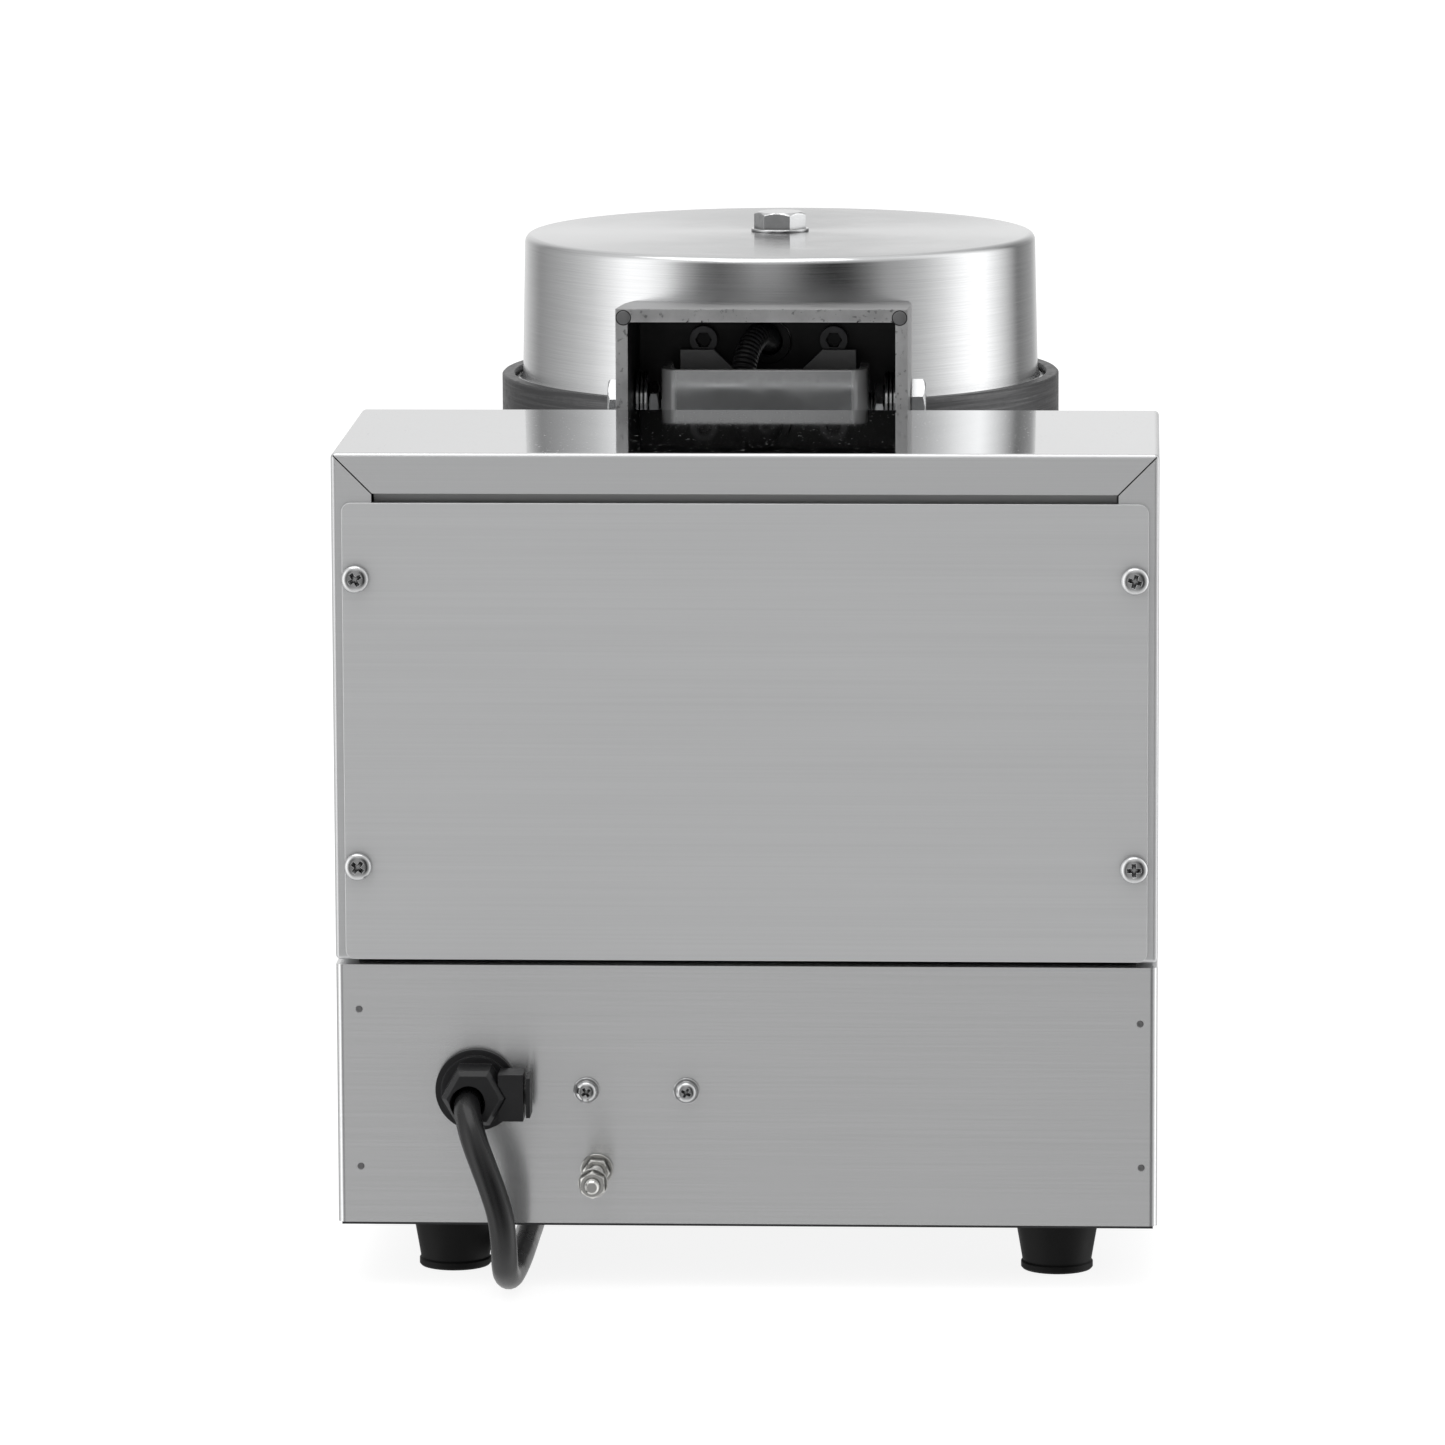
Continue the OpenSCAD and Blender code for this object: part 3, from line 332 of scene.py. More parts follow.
def deck_material():
    """The tower: mirror polish on the top, brushed elsewhere."""
    grain, satin = 0.015, 0.6
    m = brushed("tower_steel", (0.645, 0.65, 0.655), 0.30, grain, tone=0.02,
                stretch=FINE_GRAIN, smear=0.0, metallic=satin)
    t = m.node_tree
    b = t.nodes["Principled BSDF"]
    geo = t.nodes.new("ShaderNodeNewGeometry")
    sep = t.nodes.new("ShaderNodeSeparateXYZ")
    t.links.new(geo.outputs["Normal"], sep.inputs[0])
    top = mapped(t, sep.outputs[2], 0.0, 1.0, 0.75, 0.97)
    rough = b.inputs["Roughness"].links[0].from_socket
    co = object_coords(t)
    scratch = noise(t, co, 1.0, 4.0, 0.7, (900, 14, 14))
    fleck = mapped(t, noise(t, co, 700.0, 2.0, 0.5), 0.0, 1.0, 0.70, 0.72)
    mirror = math_node(t, "ADD", mapped(t, scratch, 0.035, 0.075), math_node(t, "MULTIPLY", fleck, 0.25))
    mx = t.nodes.new("ShaderNodeMix")
    t.links.new(top, mx.inputs[0])
    t.links.new(rough, mx.inputs[2])
    t.links.new(mirror, mx.inputs[3])
    t.links.new(mx.outputs[0], b.inputs["Roughness"])
    t.links.new(math_node(t, "MULTIPLY", math_node(t, "SUBTRACT", 1.0, top), 0.6), b.inputs["Anisotropic"])
    t.links.new(math_node(t, "MULTIPLY_ADD", top, 1.0 - satin, satin), b.inputs["Metallic"])
    bm = next(n for n in t.nodes if n.type == "BUMP")
    t.links.new(math_node(t, "MULTIPLY_ADD", top, -grain, grain), bm.inputs["Strength"])
    return m


def lens_material(name, color, glow):
    m, t, b = material(name)
    co = object_coords(t)
    n1 = noise(t, co, 500.0, 2.0, 0.5)
    b.inputs["Base Color"].default_value = (*color, 1.0)
    b.inputs["Transmission Weight"].default_value = 0.45
    b.inputs["Emission Color"].default_value = (*color, 1.0)
    b.inputs["Emission Strength"].default_value = glow
    t.links.new(mapped(t, n1, 0.10, 0.16), b.inputs["Roughness"])
    bump(t, b, n1, 0.05, 0.00005)
    return m


mat_mould = mould_material()
mat_frame = frame_material()
mat_tower = deck_material()
mat_bracket = bracket_material()
mat_cover = cover_material()
mat_green = lens_material("lens_green", (0.03, 0.45, 0.10), 0.25)
mat_amber = lens_material("lens_amber", (0.85, 0.33, 0.02), 0.3)
mat_red = plain("switch_red", (0.40, 0.02, 0.015), 0.28, 0.05, 600.0, 0.0004, coat=0.3)

# ---------------------------------------------------------------- mesh helpers

AXES = {
    "+Z": Matrix.Identity(3),
    "-Z": Matrix.Rotation(math.pi, 3, "X"),
    "+Y": Matrix.Rotation(-math.pi / 2, 3, "X"),
    "-Y": Matrix.Rotation(math.pi / 2, 3, "X"),
    "+X": Matrix.Rotation(math.pi / 2, 3, "Y"),
    "-X": Matrix.Rotation(-math.pi / 2, 3, "Y"),
}


class Build:
    """Collects plain geometry in metres, then makes one object of it."""

    def __init__(self):
        self.v, self.f = [], []

    def add(self, verts, faces):
        o = len(self.v)
        self.v += verts
        self.f += [tuple(i + o for i in f) for f in faces]

    def rings(self, levels, closed=False):
        n = len(levels[0])
        verts = [p for ring in levels for p in ring]
        faces = []
        count = len(levels)
        for i in range(count if closed else count - 1):
            a, c = i * n, ((i + 1) % count) * n
            for k in range(n):
                k2 = (k + 1) % n
                faces.append((a + k, a + k2, c + k2, c + k))
        if not closed:
            faces.append(tuple(range(n))[::-1])
            faces.append(tuple((count - 1) * n + k for k in range(n)))
        self.add(verts, faces)

    def place(self, mesh, at, axis, turn):
        """A copy of the mesh standing on a point, turned about the axis."""
        mtx = Matrix.Translation(at) @ AXES[axis].to_4x4() @ Matrix.Rotation(turn, 4, "Z")
        self.add([mtx @ v.co for v in mesh.vertices], [tuple(q.vertices) for q in mesh.polygons])

    def lathe(self, profile, centre, axis="+Z", n=64, closed=False, turn=0.0):
        """profile: (radius or function of angle, height) in mm, from bottom to top along the axis."""
        rot = AXES[axis]
        levels = []
        for r, h in profile:
            ring = []
            for k in range(n):
                a = 2 * math.pi * k / n
                rr = r(a) if callable(r) else r
                p = Vector((rr * math.cos(a + turn), rr * math.sin(a + turn), h)) / 1000
                ring.append(centre + rot @ p)
            levels.append(ring)
        self.rings(levels, closed)

    def box(self, x0, x1, d0, d1, z0, z1):
        p = [pt(x, d, z) for z in (z0, z1) for d in (d1, d0) for x in (x0, x1)]
        self.add(p, [(0, 2, 3, 1), (4, 5, 7, 6), (0, 1, 5, 4), (2, 6, 7, 3), (0, 4, 6, 2), (1, 3, 7, 5)])

    def prism(self, outline, place):
        """outline: list of (a, b); place(a, b, side) gives the point for side 0 or 1."""
        n = len(outline)
        verts = [place(a, b, s) for s in (0, 1) for a, b in outline]
        faces = [tuple(range(n))[::-1], tuple(range(n, 2 * n))]
        faces += [(k, (k + 1) % n, n + (k + 1) % n, n + k) for k in range(n)]
        self.add(verts, faces)

    def mesh(self, name, angle=30.0):
        me = bpy.data.meshes.new(name)
        me.from_pydata([tuple(v) for v in self.v], [], self.f)
        me.validate()
        bm = bmesh.new()
        bm.from_mesh(me)
        bmesh.ops.recalc_face_normals(bm, faces=bm.faces)
        bm.to_mesh(me)
        bm.free()
        me.shade_smooth()
        me.set_sharp_from_angle(angle=math.radians(angle))
        return me


def piece(name, mesh, mat, body=None, replaces=(), bevel=0.0, segments=2):
    o = bpy.data.objects.new(name, mesh)
    bpy.context.scene.collection.objects.link(o)
    if mat and not mesh.materials:
        mesh.materials.append(mat)
    if bevel:
        md = o.modifiers.new("edges", "BEVEL")
        md.width = bevel / 1000
        md.segments = segments
        md.limit_method = "ANGLE"
        md.angle_limit = math.radians(35)
        md.harden_normals = True
    if body:
        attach(o, body)
    if replaces:
        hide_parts(*replaces)
    return o


def cut(mesh, cutters, name, angle=30.0):
    """mesh less the cutters, all as plain meshes."""
    made = []
    o = bpy.data.objects.new("tmp_cut", mesh)
    bpy.context.scene.collection.objects.link(o)
    made.append(o)
    for i, c in enumerate(cutters):
        q = bpy.data.objects.new(f"tmp_{i}", c)
        bpy.context.scene.collection.objects.link(q)
        made.append(q)
        md = o.modifiers.new(f"c{i}", "BOOLEAN")
        md.operation = "DIFFERENCE"
        md.solver = "EXACT"
        md.object = q
    dg = bpy.context.evaluated_depsgraph_get()
    me = bpy.data.meshes.new_from_object(o.evaluated_get(dg))
    me.name = name
    for q in made:
        bpy.data.objects.remove(q)
    me.shade_smooth()
    me.set_sharp_from_angle(angle=math.radians(angle))
    return me


def one(fn, name="part", angle=30.0):
    b = Build()
    fn(b)
    return b.mesh(name, angle)


def hexr(af):
    """Radius of a hexagon of that width across flats, as a function of angle."""
    def r(a):
        a = (a + math.pi / 6) % (math.pi / 3) - math.pi / 6
        return af / 2 / math.cos(a)
    return r


def nut_profile(af, h, bore=0.0, both=True):
    """Hexagon with turned chamfers, heights from 0 to h."""
    corner = af / 2 / math.cos(math.pi / 6)
    flat = hexr(af)
    face = af * 0.475
    c = (corner - face) * 0.577
    prof = [(bore, 0.0)] if bore else []

    def lim(rc):
        return lambda a: min(flat(a), rc)

    steps = [0.0, 0.25, 0.5, 0.75, 1.0]
    if both:
        prof += [(lim(face + (corner - face) * s), c * s) for s in steps]
    else:
        prof += [(flat, 0.0)]
    prof += [(lim(face + (corner - face) * s), h - c * s) for s in reversed(steps)]
    if bore:
        prof += [(bore, h)]
    return prof


def thread_profile(r, h0, h1, pitch=0.8, depth=0.45):
    """Profile of a rod with ridges for its thread, and a plain eased end."""
    prof = [(0.0, h0), (r - depth, h0)]
    n = int((h1 - h0 - 0.8) / pitch)
    for i in range(n):
        prof += [(r, h0 + pitch * (i + 0.45)), (r, h0 + pitch * (i + 0.6)), (r - depth, h0 + pitch * (i + 1))]
    prof += [(r - depth * 0.3, h0 + pitch * n + 0.3), (r - depth * 0.3, h1 - 0.7), (r - 0.8, h1), (0.0, h1)]
    return prof


def arc(r0, h0, r1, h1, cr, ch, n=6):
    """Quarter-like arc of points from (r0,h0) to (r1,h1) about (cr,ch)."""
    a0 = math.atan2(h0 - ch, r0 - cr)
    a1 = math.atan2(h1 - ch, r1 - cr)
    q = math.hypot(r0 - cr, h0 - ch)
    angles = [a0 + (a1 - a0) * i / n for i in range(n + 1)]
    return [(cr + q * math.cos(a), ch + q * math.sin(a)) for a in angles]


BRICK = [(3, 2, 1, 0), (4, 5, 6, 7), (0, 1, 5, 4), (1, 2, 6, 5), (2, 3, 7, 6), (3, 0, 4, 7)]


def cross_cutters(r, h, turn):
    """The two wedges of a Phillips recess in a head of radius r with its top at h."""
    w, l, depth = 0.17 * r, 0.62 * r, 0.62 * h
    made = []
    for k in range(2):
        rot = Matrix.Rotation(turn + k * math.pi / 2, 3, "Z")
        v = []
        for fl, fw, z in ((0.35, 0.55, h - depth), (1.0, 1.0, h + 0.4)):
            for sl, sw in ((-1, -1), (1, -1), (1, 1), (-1, 1)):
                v.append(rot @ Vector((sl * l * fl, sw * w * fw, z)) / 1000)
        b = Build()
        b.add(v, BRICK)
        made.append(b.mesh("c"))
    return made


def pan_mesh(r, h, turn, name):
    """Pan head with a Phillips recess, standing on z = 0."""
    prof = [(r * 0.5, 0.0), (r * 0.97, 0.0), (r, h * 0.12), (r, h * 0.34)]
    for i in range(1, 9):
        a = i / 8 * math.pi / 2
        prof.append((r * (0.46 + 0.54 * math.cos(a)), h * (0.34 + 0.60 * math.sin(a))))
    prof += [(r * 0.2, h * 0.99), (0.0, h)]
    head = one(lambda b: b.lathe(prof, Vector((0, 0, 0)), "+Z", 48), name)
    return cut(head, cross_cutters(r, h, turn), name)


def rod(r, h0, h1):
    """Profile of a plain rod."""
    return [(0.01, h0), (r, h0), (r, h1), (0.01, h1)]


def washer(bore, r, h, t, edge=0.2, e=0.15):
    """Closed profile of a washer from height h to h + t, its outer edges eased."""
    return [(bore, h), (r - edge, h), (r, h + e), (r, h + t - e), (r - edge, h + t), (bore, h + t)]


def raised(profile, h):
    return [(r, z + h) for r, z in profile]


def quarter(x, d, radius, step, start=0):
    """Quarter circle of points about (x, d), from the left to the rear, or from start degrees on."""
    return [(x - radius * math.cos(math.radians(a)), d - radius * math.sin(math.radians(a)))
            for a in range(start, start + 91, step)]


def smooth_path(points, n):
    """Catmull-Rom curve through the points, as in the part's source."""
    out = []
    m = len(points)
    g = lambda i: Vector(points[max(0, min(m - 1, i))])
    for i in range(m - 1):
        a, b, c, d = g(i - 1), g(i), g(i + 1), g(i + 2)
        for j in range(n):
            t = j / n
            square = 2 * a - 5 * b + 4 * c - d
            cube = 3 * b - a - 3 * c + d
            out.append(0.5 * (2 * b + (c - a) * t + square * t * t + cube * t ** 3))
    out.append(g(m - 1))
    return out


# ---------------------------------------------------------------- camera

cam_data = bpy.data.cameras.new("camera")
cam = bpy.data.objects.new("camera", cam_data)
bpy.context.scene.collection.objects.link(cam)
cam_data.sensor_width = 36.0
cam_data.lens = 220.49
cam_data.clip_start, cam_data.clip_end = 0.1, 60.0
yaw, pitch, roll = -0.047358, 0.156512, -0.003949
ry = Matrix(((math.cos(yaw), 0, -math.sin(yaw)), (0, 1, 0), (math.sin(yaw), 0, math.cos(yaw))))
rx = Matrix(((1, 0, 0), (0, math.cos(pitch), -math.sin(pitch)), (0, math.sin(pitch), math.cos(pitch))))
rz = Matrix(((math.cos(roll), -math.sin(roll), 0), (math.sin(roll), math.cos(roll), 0), (0, 0, 1)))
view = rz @ rx @ ry @ Matrix(((1, 0, 0), (0, 0, -1), (0, 1, 0)))
flip = lambda v: Vector((-v[0], -v[1], v[2]))
right, down, ahead = flip(view[0]), flip(view[1]), flip(view[2])
stand = Matrix.Translation((-0.13026, YR / 1000 + 2.90581, 0.65150))
cam.matrix_world = stand @ Matrix((right, -down, -ahead)).transposed().to_4x4()
bpy.context.scene.camera = cam

# ---------------------------------------------------------------- mains lead

GX, GZ = 90.3, 68.0
route = [
    (GX + 0.6, 4, GZ), (GX + 1.6, 12, GZ - 0.5), (GX + 2, 18.5, GZ - 2.7), (GX + 1, 24, GZ - 6.3),
    (GX - 1.2, 29.3, GZ - 12.3), (GX - 4.4, 33.2, GZ - 19.8), (GX - 7.6, 35, GZ - 28), (80.4, 34.6, 31.6),
    (79.6, 32.1, 23.5), (79.6, 27.5, 16.4), (79.8, 21.3, 10.7), (79.6, 12, 6.4), (79.2, 2.8, 4.8),
    (78.6, -10, 4.6), (78, -60, 4.6), (78, -130, 4.6), (78, -200, 4.6), (78, -300, 4.6), (78.4, -390, 4.6),
    (80.8, -430, 4.6),
]
lead = [Vector((x, YR + y, z)) / 1000 for x, y, z in route]
cx, cy = 28.0, YR - 470.0


def ease(a, b, t):
    t = max(0.0, min(1.0, t))
    return a + (b - a) * (3 * t * t - 2 * t ** 3)


for i in range(0, 1171, 18):
    r = ease(54.55, 45.45, (i - 270) / 80)
    r = ease(r, 50.0, (i - 660) / 60)
    z = ease(4.6, 12.6, (i - 650) / 50)
    z = ease(z, 13.6, (i - 1090) / 80)
    a = math.radians(-i)
    lead.append(Vector((cx + r * math.cos(a), cy + r * math.sin(a), z)) / 1000)
for x, z in ((14, 14.2), (0, 17.6), (-13, 18.6), (-20, 18.7)):
    lead.append(Vector((x, cy - 50, z)) / 1000)


def spline_curve(name, points, radius, mat):
    cu = bpy.data.curves.new(name, "CURVE")
    cu.dimensions = "3D"
    cu.bevel_depth = radius
    cu.bevel_resolution = 7
    cu.resolution_u = 6
    cu.use_fill_caps = True
    s = cu.splines.new("BEZIER")
    s.bezier_points.add(len(points) - 1)
    for q, p in zip(s.bezier_points, points):
        q.co = p
        q.handle_left_type = q.handle_right_type = "AUTO"
    cu.materials.append(mat)
    o = bpy.data.objects.new(name, cu)
    bpy.context.scene.collection.objects.link(o)
    return o


flex = spline_curve("mains_lead", lead, 0.00447, mat_cord)
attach(flex, "machine")
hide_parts("cord", "cord_coil", "cord_tail")
dense = smooth_path([tuple(p) for p in lead], 8)

# ---------------------------------------------------------------- tower


def rounded_box(x0, x1, d0, d1, z0, z1, r, name, segments=5):
    b = Build()
    b.box(x0, x1, d0, d1, z0, z1)
    me = b.mesh(name)
    bm = bmesh.new()
    bm.from_mesh(me)
    bmesh.ops.bevel(bm, geom=list(bm.edges), offset=r / 1000, segments=segments, profile=0.5, affect="EDGES")
    bm.to_mesh(me)
    bm.free()
    return me


def boxm(x0, x1, d0, d1, z0, z1):
    b = Build()
    b.box(x0, x1, d0, d1, z0, z1)
    return b.mesh("c")


def mitre(side):
    """Thin saw cut across a corner of the rear flanges, 45 degrees."""
    b = Build()
    x, z = side * 138.2, DECK + 0.7
    u = Vector((-side, 0, -1)).normalized()
    n = Vector((1, 0, -side)).normalized() if side > 0 else Vector((1, 0, 1)).normalized()
    c0 = Vector((x / 1000, YR / 1000, z / 1000)) + u * 0.0022
    v = []
    for dy in (-0.0022, 0.0008):
        for l, w in ((0, -1), (0, 1), (0.020, 1), (0.020, -1)):
            v.append(c0 + u * l + n * (w * 0.00022) + Vector((0, dy, 0)))
    b.add(v, BRICK)
    return b.mesh("c")


tower = rounded_box(-137.5, 137.5, 0, TOWER_D, TOWER_Z, DECK, 1.7, "tower", 5)
tower = cut(tower, [
    boxm(-136, 136, 1.5, TOWER_D - 1.5, TOWER_Z + 1.5, DECK - 1.5),
    boxm(-124, 124, -2, 4, TOWER_Z + 12, DECK - 13.5),
    mitre(1), mitre(-1),
    boxm(-123.4, -122.9, -2, 1, TOWER_Z - 1, TOWER_Z + 3.2),
    boxm(122.9, 123.4, -2, 1, TOWER_Z - 1, TOWER_Z + 3.2),
], "tower", 25)
wrapper = piece("tower_wrapper", tower, mat_tower, "machine", ["tower_shell"])
md = wrapper.modifiers.new("flats", "WEIGHTED_NORMAL")
md.keep_sharp = True


def panel_plate():
    b = Build()
    r, x, z0, z1 = 3.0, 134.0, TOWER_Z + 0.5, TOWER_Z + 0.5 + TOWER_H - 17.0
    out = []
    corners = ((x - r, z1 - r), (-x + r, z1 - r), (-x + r, z0 + r), (x - r, z0 + r))
    for i, (mx, mz) in enumerate(corners):
        for k in range(7):
            a = math.radians(90 * i + 15 * k)
            out.append((mx + r * math.cos(a), mz + r * math.sin(a)))
    b.prism(out, lambda a, c, s: pt(a, -PANEL_T * s + 0.02, c))
    return b.mesh("panel")


piece("rear_cover_plate", panel_plate(), mat_panel, "machine", ["rear_panel"],
      bevel=0.35, segments=3)

# ---------------------------------------------------------------- screws

pan5 = pan_mesh(4.7, 3.0, 0.4, "pan5")
b = Build()
for x, up, turn in ((129.5, 129, 0.15), (-129.5, 129, 0.9), (129.5, 32, 0.5), (-129.5, 32, 1.2)):
    at = pt(x, -PANEL_T, TOWER_Z + up)
    b.place(pan5, at, "+Y", turn)
    b.lathe(rod(2.4, 0, 10), at, "-Y", 24)
    b.lathe(nut_profile(8, 4, 2.3), pt(x, 1.6, TOWER_Z + up), "-Y", 48)
piece("panel_screw_set", b.mesh("panel_screws", 28), mat_zinc, "machine", ["panel_screws"])

pan4 = pan_mesh(3.45, 2.5, 0.1, "pan4")
b = Build()
spring_washer = [(2.2, 0.92), (3.55, 0.92), (3.6, 1.0), (3.6, 1.9), (3.5, 2.0), (2.2, 2.0)]
for x, turn in ((53.5, 0.5), (20.0, 1.0)):
    c = pt(x, 0, GZ - 0.5)
    b.lathe(washer(2.1, 4.4, 0.0, 0.9), c, "+Y", 48, closed=True)
    b.lathe(spring_washer, c, "+Y", 40, closed=True)
    b.place(pan4, pt(x, -2.0, GZ - 0.5), "+Y", turn)
    b.lathe(rod(1.9, 0, 15), c, "-Y", 20)
piece("base_screw_set", b.mesh("base_screws", 28), mat_zinc, "machine", ["terminal_screws"])

b = Build()
sx, sz = 50.2, 40.4
b.lathe(thread_profile(2.5, -7.0, 30.0), pt(sx, 0, sz), "+Y", 32)
b.lathe(washer(2.6, 5.5, 0.0, 1.2), pt(sx, 0, sz), "+Y", 48, closed=True)
b.lathe(nut_profile(8, 4, 2.2), pt(sx, -1.2, sz), "+Y", 72, turn=math.radians(25))
b.lathe(washer(2.6, 5.0, 0.0, 1.0), pt(sx, -21.6, sz), "+Y", 48, closed=True)
b.lathe(nut_profile(8, 4, 2.2), pt(sx, -22.6, sz), "+Y", 72, turn=math.radians(2))
b.lathe(nut_profile(8, 4, 2.2), pt(sx, 1.55, sz), "-Y", 48)
piece("bonding_stud_set", b.mesh("stud", 28), mat_stud, "machine", ["earth_stud"])

# small weld marks near the ends of the base's rear face
b = Build()
weld = [(0.01, -0.1), (1.25, -0.1), (1.25, 0.0), (1.05, 0.09), (0.7, 0.07), (0.3, 0.02), (0.01, 0.01)]
for x, z in ((129.8, 94.8), (129.7, 41.1), (-131.7, 91.0), (-132.2, 42.0)):
    b.lathe(weld, pt(x, 0, z), "+Y", 24)
piece("weld_marks", b.mesh("weld"), mat_notch, "machine")

# ---------------------------------------------------------------- lid cover and bolts

def cover_profile():
    prof = [(96.0, 32.0), (96.0, 32.5), (95.75, 33.05), (95.2, 33.2)]
    prof += [(94.95, 33.2), (94.5, 33.5), (94.15, 34.1), (93.85, 35.2)]
    prof += [(93.78, 37.0), (93.15, 65.0), (92.75, 82.9)]
    prof += arc(92.75, 82.9, 90.1, 85.5, 90.0, 82.8, 8)
    prof += [(84.0, 85.75), (60.0, 86.0), (30.0, 86.1), (5.4, 86.1), (5.4, 84.9), (60.0, 84.8), (88.0, 84.3)]
    prof += [(91.0, 82.4), (92.4, 35.2), (92.4, 32.0)]
    return prof


def mould_face(axis):
    """Centre of the upper or lower mould's parting face, 0.25 mm from the parting plane."""
    return pt(0, MOULD_D, PART_Z + (0.25 if axis == "+Z" else -0.25))


def cover_mesh(axis, name):
    return one(lambda b: b.lathe(cover_profile(), mould_face(axis), axis, 192, closed=True), name, 40)


def drill(x, z, r, d0, d1):
    return one(lambda b: b.lathe(rod(r, 0, d1 - d0), pt(x, d0, z), "-Y", 24), "c")


holes = [drill(x, z, r, 195, 240) for x, z, r in ((-23, 298.0, 3.2), (23, 298.0, 3.2), (0, 297.0, 6.4))]
holes += [drill(x, 306.25, 3.2, 360, 410) for x in (-20, 20)]
lid_cover = cut(cover_mesh("+Z", "lid_cover"), holes, "lid_cover", 40)
piece("lid_cover", lid_cover, mat_cover, "lid", ["upper_cover"])
piece("bottom_cover", cover_mesh("-Z", "bottom_cover"), mat_cover, "machine", ["lower_cover"])


def centre_bolt(axis):
    b = Build()
    c = mould_face(axis)
    ring = [(5.2, 86.1), (10.3, 86.1), (10.5, 86.2), (10.5, 86.9), (10.3, 87.1), (5.2, 87.1)]
    b.lathe(ring, c, axis, 48, closed=True)
    head = raised(nut_profile(16.5, 6.0, 0.01, both=False), 87.1)
    b.lathe(head, c, axis, 72, turn=math.radians(24))
    b.lathe(rod(5, 12, 85), c, axis, 32)
    return b.mesh("bolt", 25)


piece("lid_bolt", centre_bolt("+Z"), mat_zinc, "lid", ["upper_bolt"])
piece("bottom_bolt", centre_bolt("-Z"), mat_zinc, "machine", ["lower_bolt"])

# ---------------------------------------------------------------- hinge

b = Build()
for s, ax in ((1, "+X"), (-1, "-X")):
    c = pt(0, AXIS_D, AXIS_Z)
    t0 = math.radians(12 if s > 0 else 40)
    b.lathe(raised(nut_profile(15.0, 5.0, 0.01, both=False), 50.9), c, ax, 72, turn=t0)
    b.lathe(rod(5, 46.1, 50.95), c, ax, 40)
    b.lathe(thread_profile(4, 28.8, 47, 1.25, 0.6), c, ax, 32)
    b.lathe(raised(nut_profile(13, 3.8, 3.6), 37.8), c, ax, 72, turn=t0 + 0.3)
    b.lathe(raised(nut_profile(13, 4, 3.6), 29), c, ax, 72, turn=t0 + 0.7)
piece("hinge_bolt_set", b.mesh("hinge_bolts", 28), mat_bolt, "machine", ["hinge_bolts"])

b = Build()
for ax in ("+X", "-X"):
    for i, r in enumerate((11.5, 11.1, 11.5)):
        ring = washer(4.2, r, 41.6 + 1.5 * i, 1.3, edge=0.25, e=0.25)
        b.lathe(ring, pt(0, AXIS_D, AXIS_Z), ax, 56, closed=True)
piece("hinge_washer_set", b.mesh("washers", 28), mat_zinc, "machine", ["hinge_washers"])


def bracket_mesh():
    """Folded channel: rear web with round bends, two cheeks and a foot."""
    b = Build()
    outer_r, t, half, d0, z0, z1, eye = 5.0, 3.0, 36.0, 158.0, 226.0, 292.0, 14.0
    fold = half - outer_r
    out = [(-half, d0 + 12)] + quarter(-fold, d0 + outer_r, outer_r, 10)
    out += quarter(fold, d0 + outer_r, outer_r, 10, 90) + [(half, d0 + 12), (half - t, d0 + 12)]
    inner = quarter(-fold, d0 + outer_r, outer_r - t, 15)
    out += [(-x, d) for x, d in inner] + inner[::-1] + [(-half + t, d0 + 12)]
    b.prism(out, lambda x, d, s: pt(x, d, (z0, z1)[s]))
    side = [(d0 + 10, z0), (d0 + 14, z0), (d0 + 14, AXIS_Z - eye)]
    for a in range(0, 181, 9):
        side.append((AXIS_D + eye * math.sin(math.radians(a)), AXIS_Z - eye * math.cos(math.radians(a))))
    side += [(AXIS_D - 2, z1), (d0 + 10, z1)]
    for x0 in (-half, half - t):
        b.prism(side, lambda d, z, s, x0=x0: pt(x0 + 0.02 + (t - 0.04) * s, d, z))
    x1 = half - 0.1
    foot = [(-x1, d0 + 2), (x1, d0 + 2), (x1, d0 + 22), (-x1, d0 + 22)]
    b.prism(foot, lambda x, d, s: pt(x, d, z0 + t * s))
    return b.mesh("bracket", 20)


piece("hinge_channel", bracket_mesh(), mat_bracket, "machine", ["hinge_bracket"],
      bevel=0.4, segments=3)

# round ends of the milled frame's corner pins, flush with its rear edges
pin = [(0.01, -0.6), (2.35, -0.6), (2.35, 0.06), (2.2, 0.1), (0.01, 0.1)]
seam = [(2.36, -0.4), (2.72, -0.4), (2.72, 0.04), (2.36, 0.04)]
pins, seams = Build(), Build()
for x in (-47.85, 47.85):
    pins.lathe(pin, pt(x, FRAME_D, 312.4), "+Y", 32)
    seams.lathe(seam, pt(x, FRAME_D, 312.4), "+Y", 32, closed=True)
piece("frame_pins", pins.mesh("pins"), mat_notch, "lid")
piece("frame_pin_rings", seams.mesh("pin_rings"), mat_gland, "lid")

# painted shade: dark discs at the bottoms of the frame screws' sockets
b = Build()
for x in (-23.0, 23.0):
    b.lathe([(hexr(4.9), 2.5), (hexr(4.9), 2.65)], pt(x, 202.5, 298.0), "+Y", 48)
piece("socket_shade", b.mesh("sockets"), mat_gland, "lid")

# edge of the bottom plate, just below the housing's rear face, dark as a painted shadow line in the gap
b = Build()
b.box(-136.2, 136.2, 0.3, 2.2, 21.2, 22.1)
piece("bottom_edge_shadow", b.mesh("edge"), mat_dark, "machine")

# folded lip behind the slot over the rear panel, its steel darker as painted shade in the slot
b = Build()
b.box(-123.5, 123.5, 5.0, 6.2, 258.0, 269.0)
piece("slot_lip", b.mesh("lip"), mat_shaded_lip, "machine")

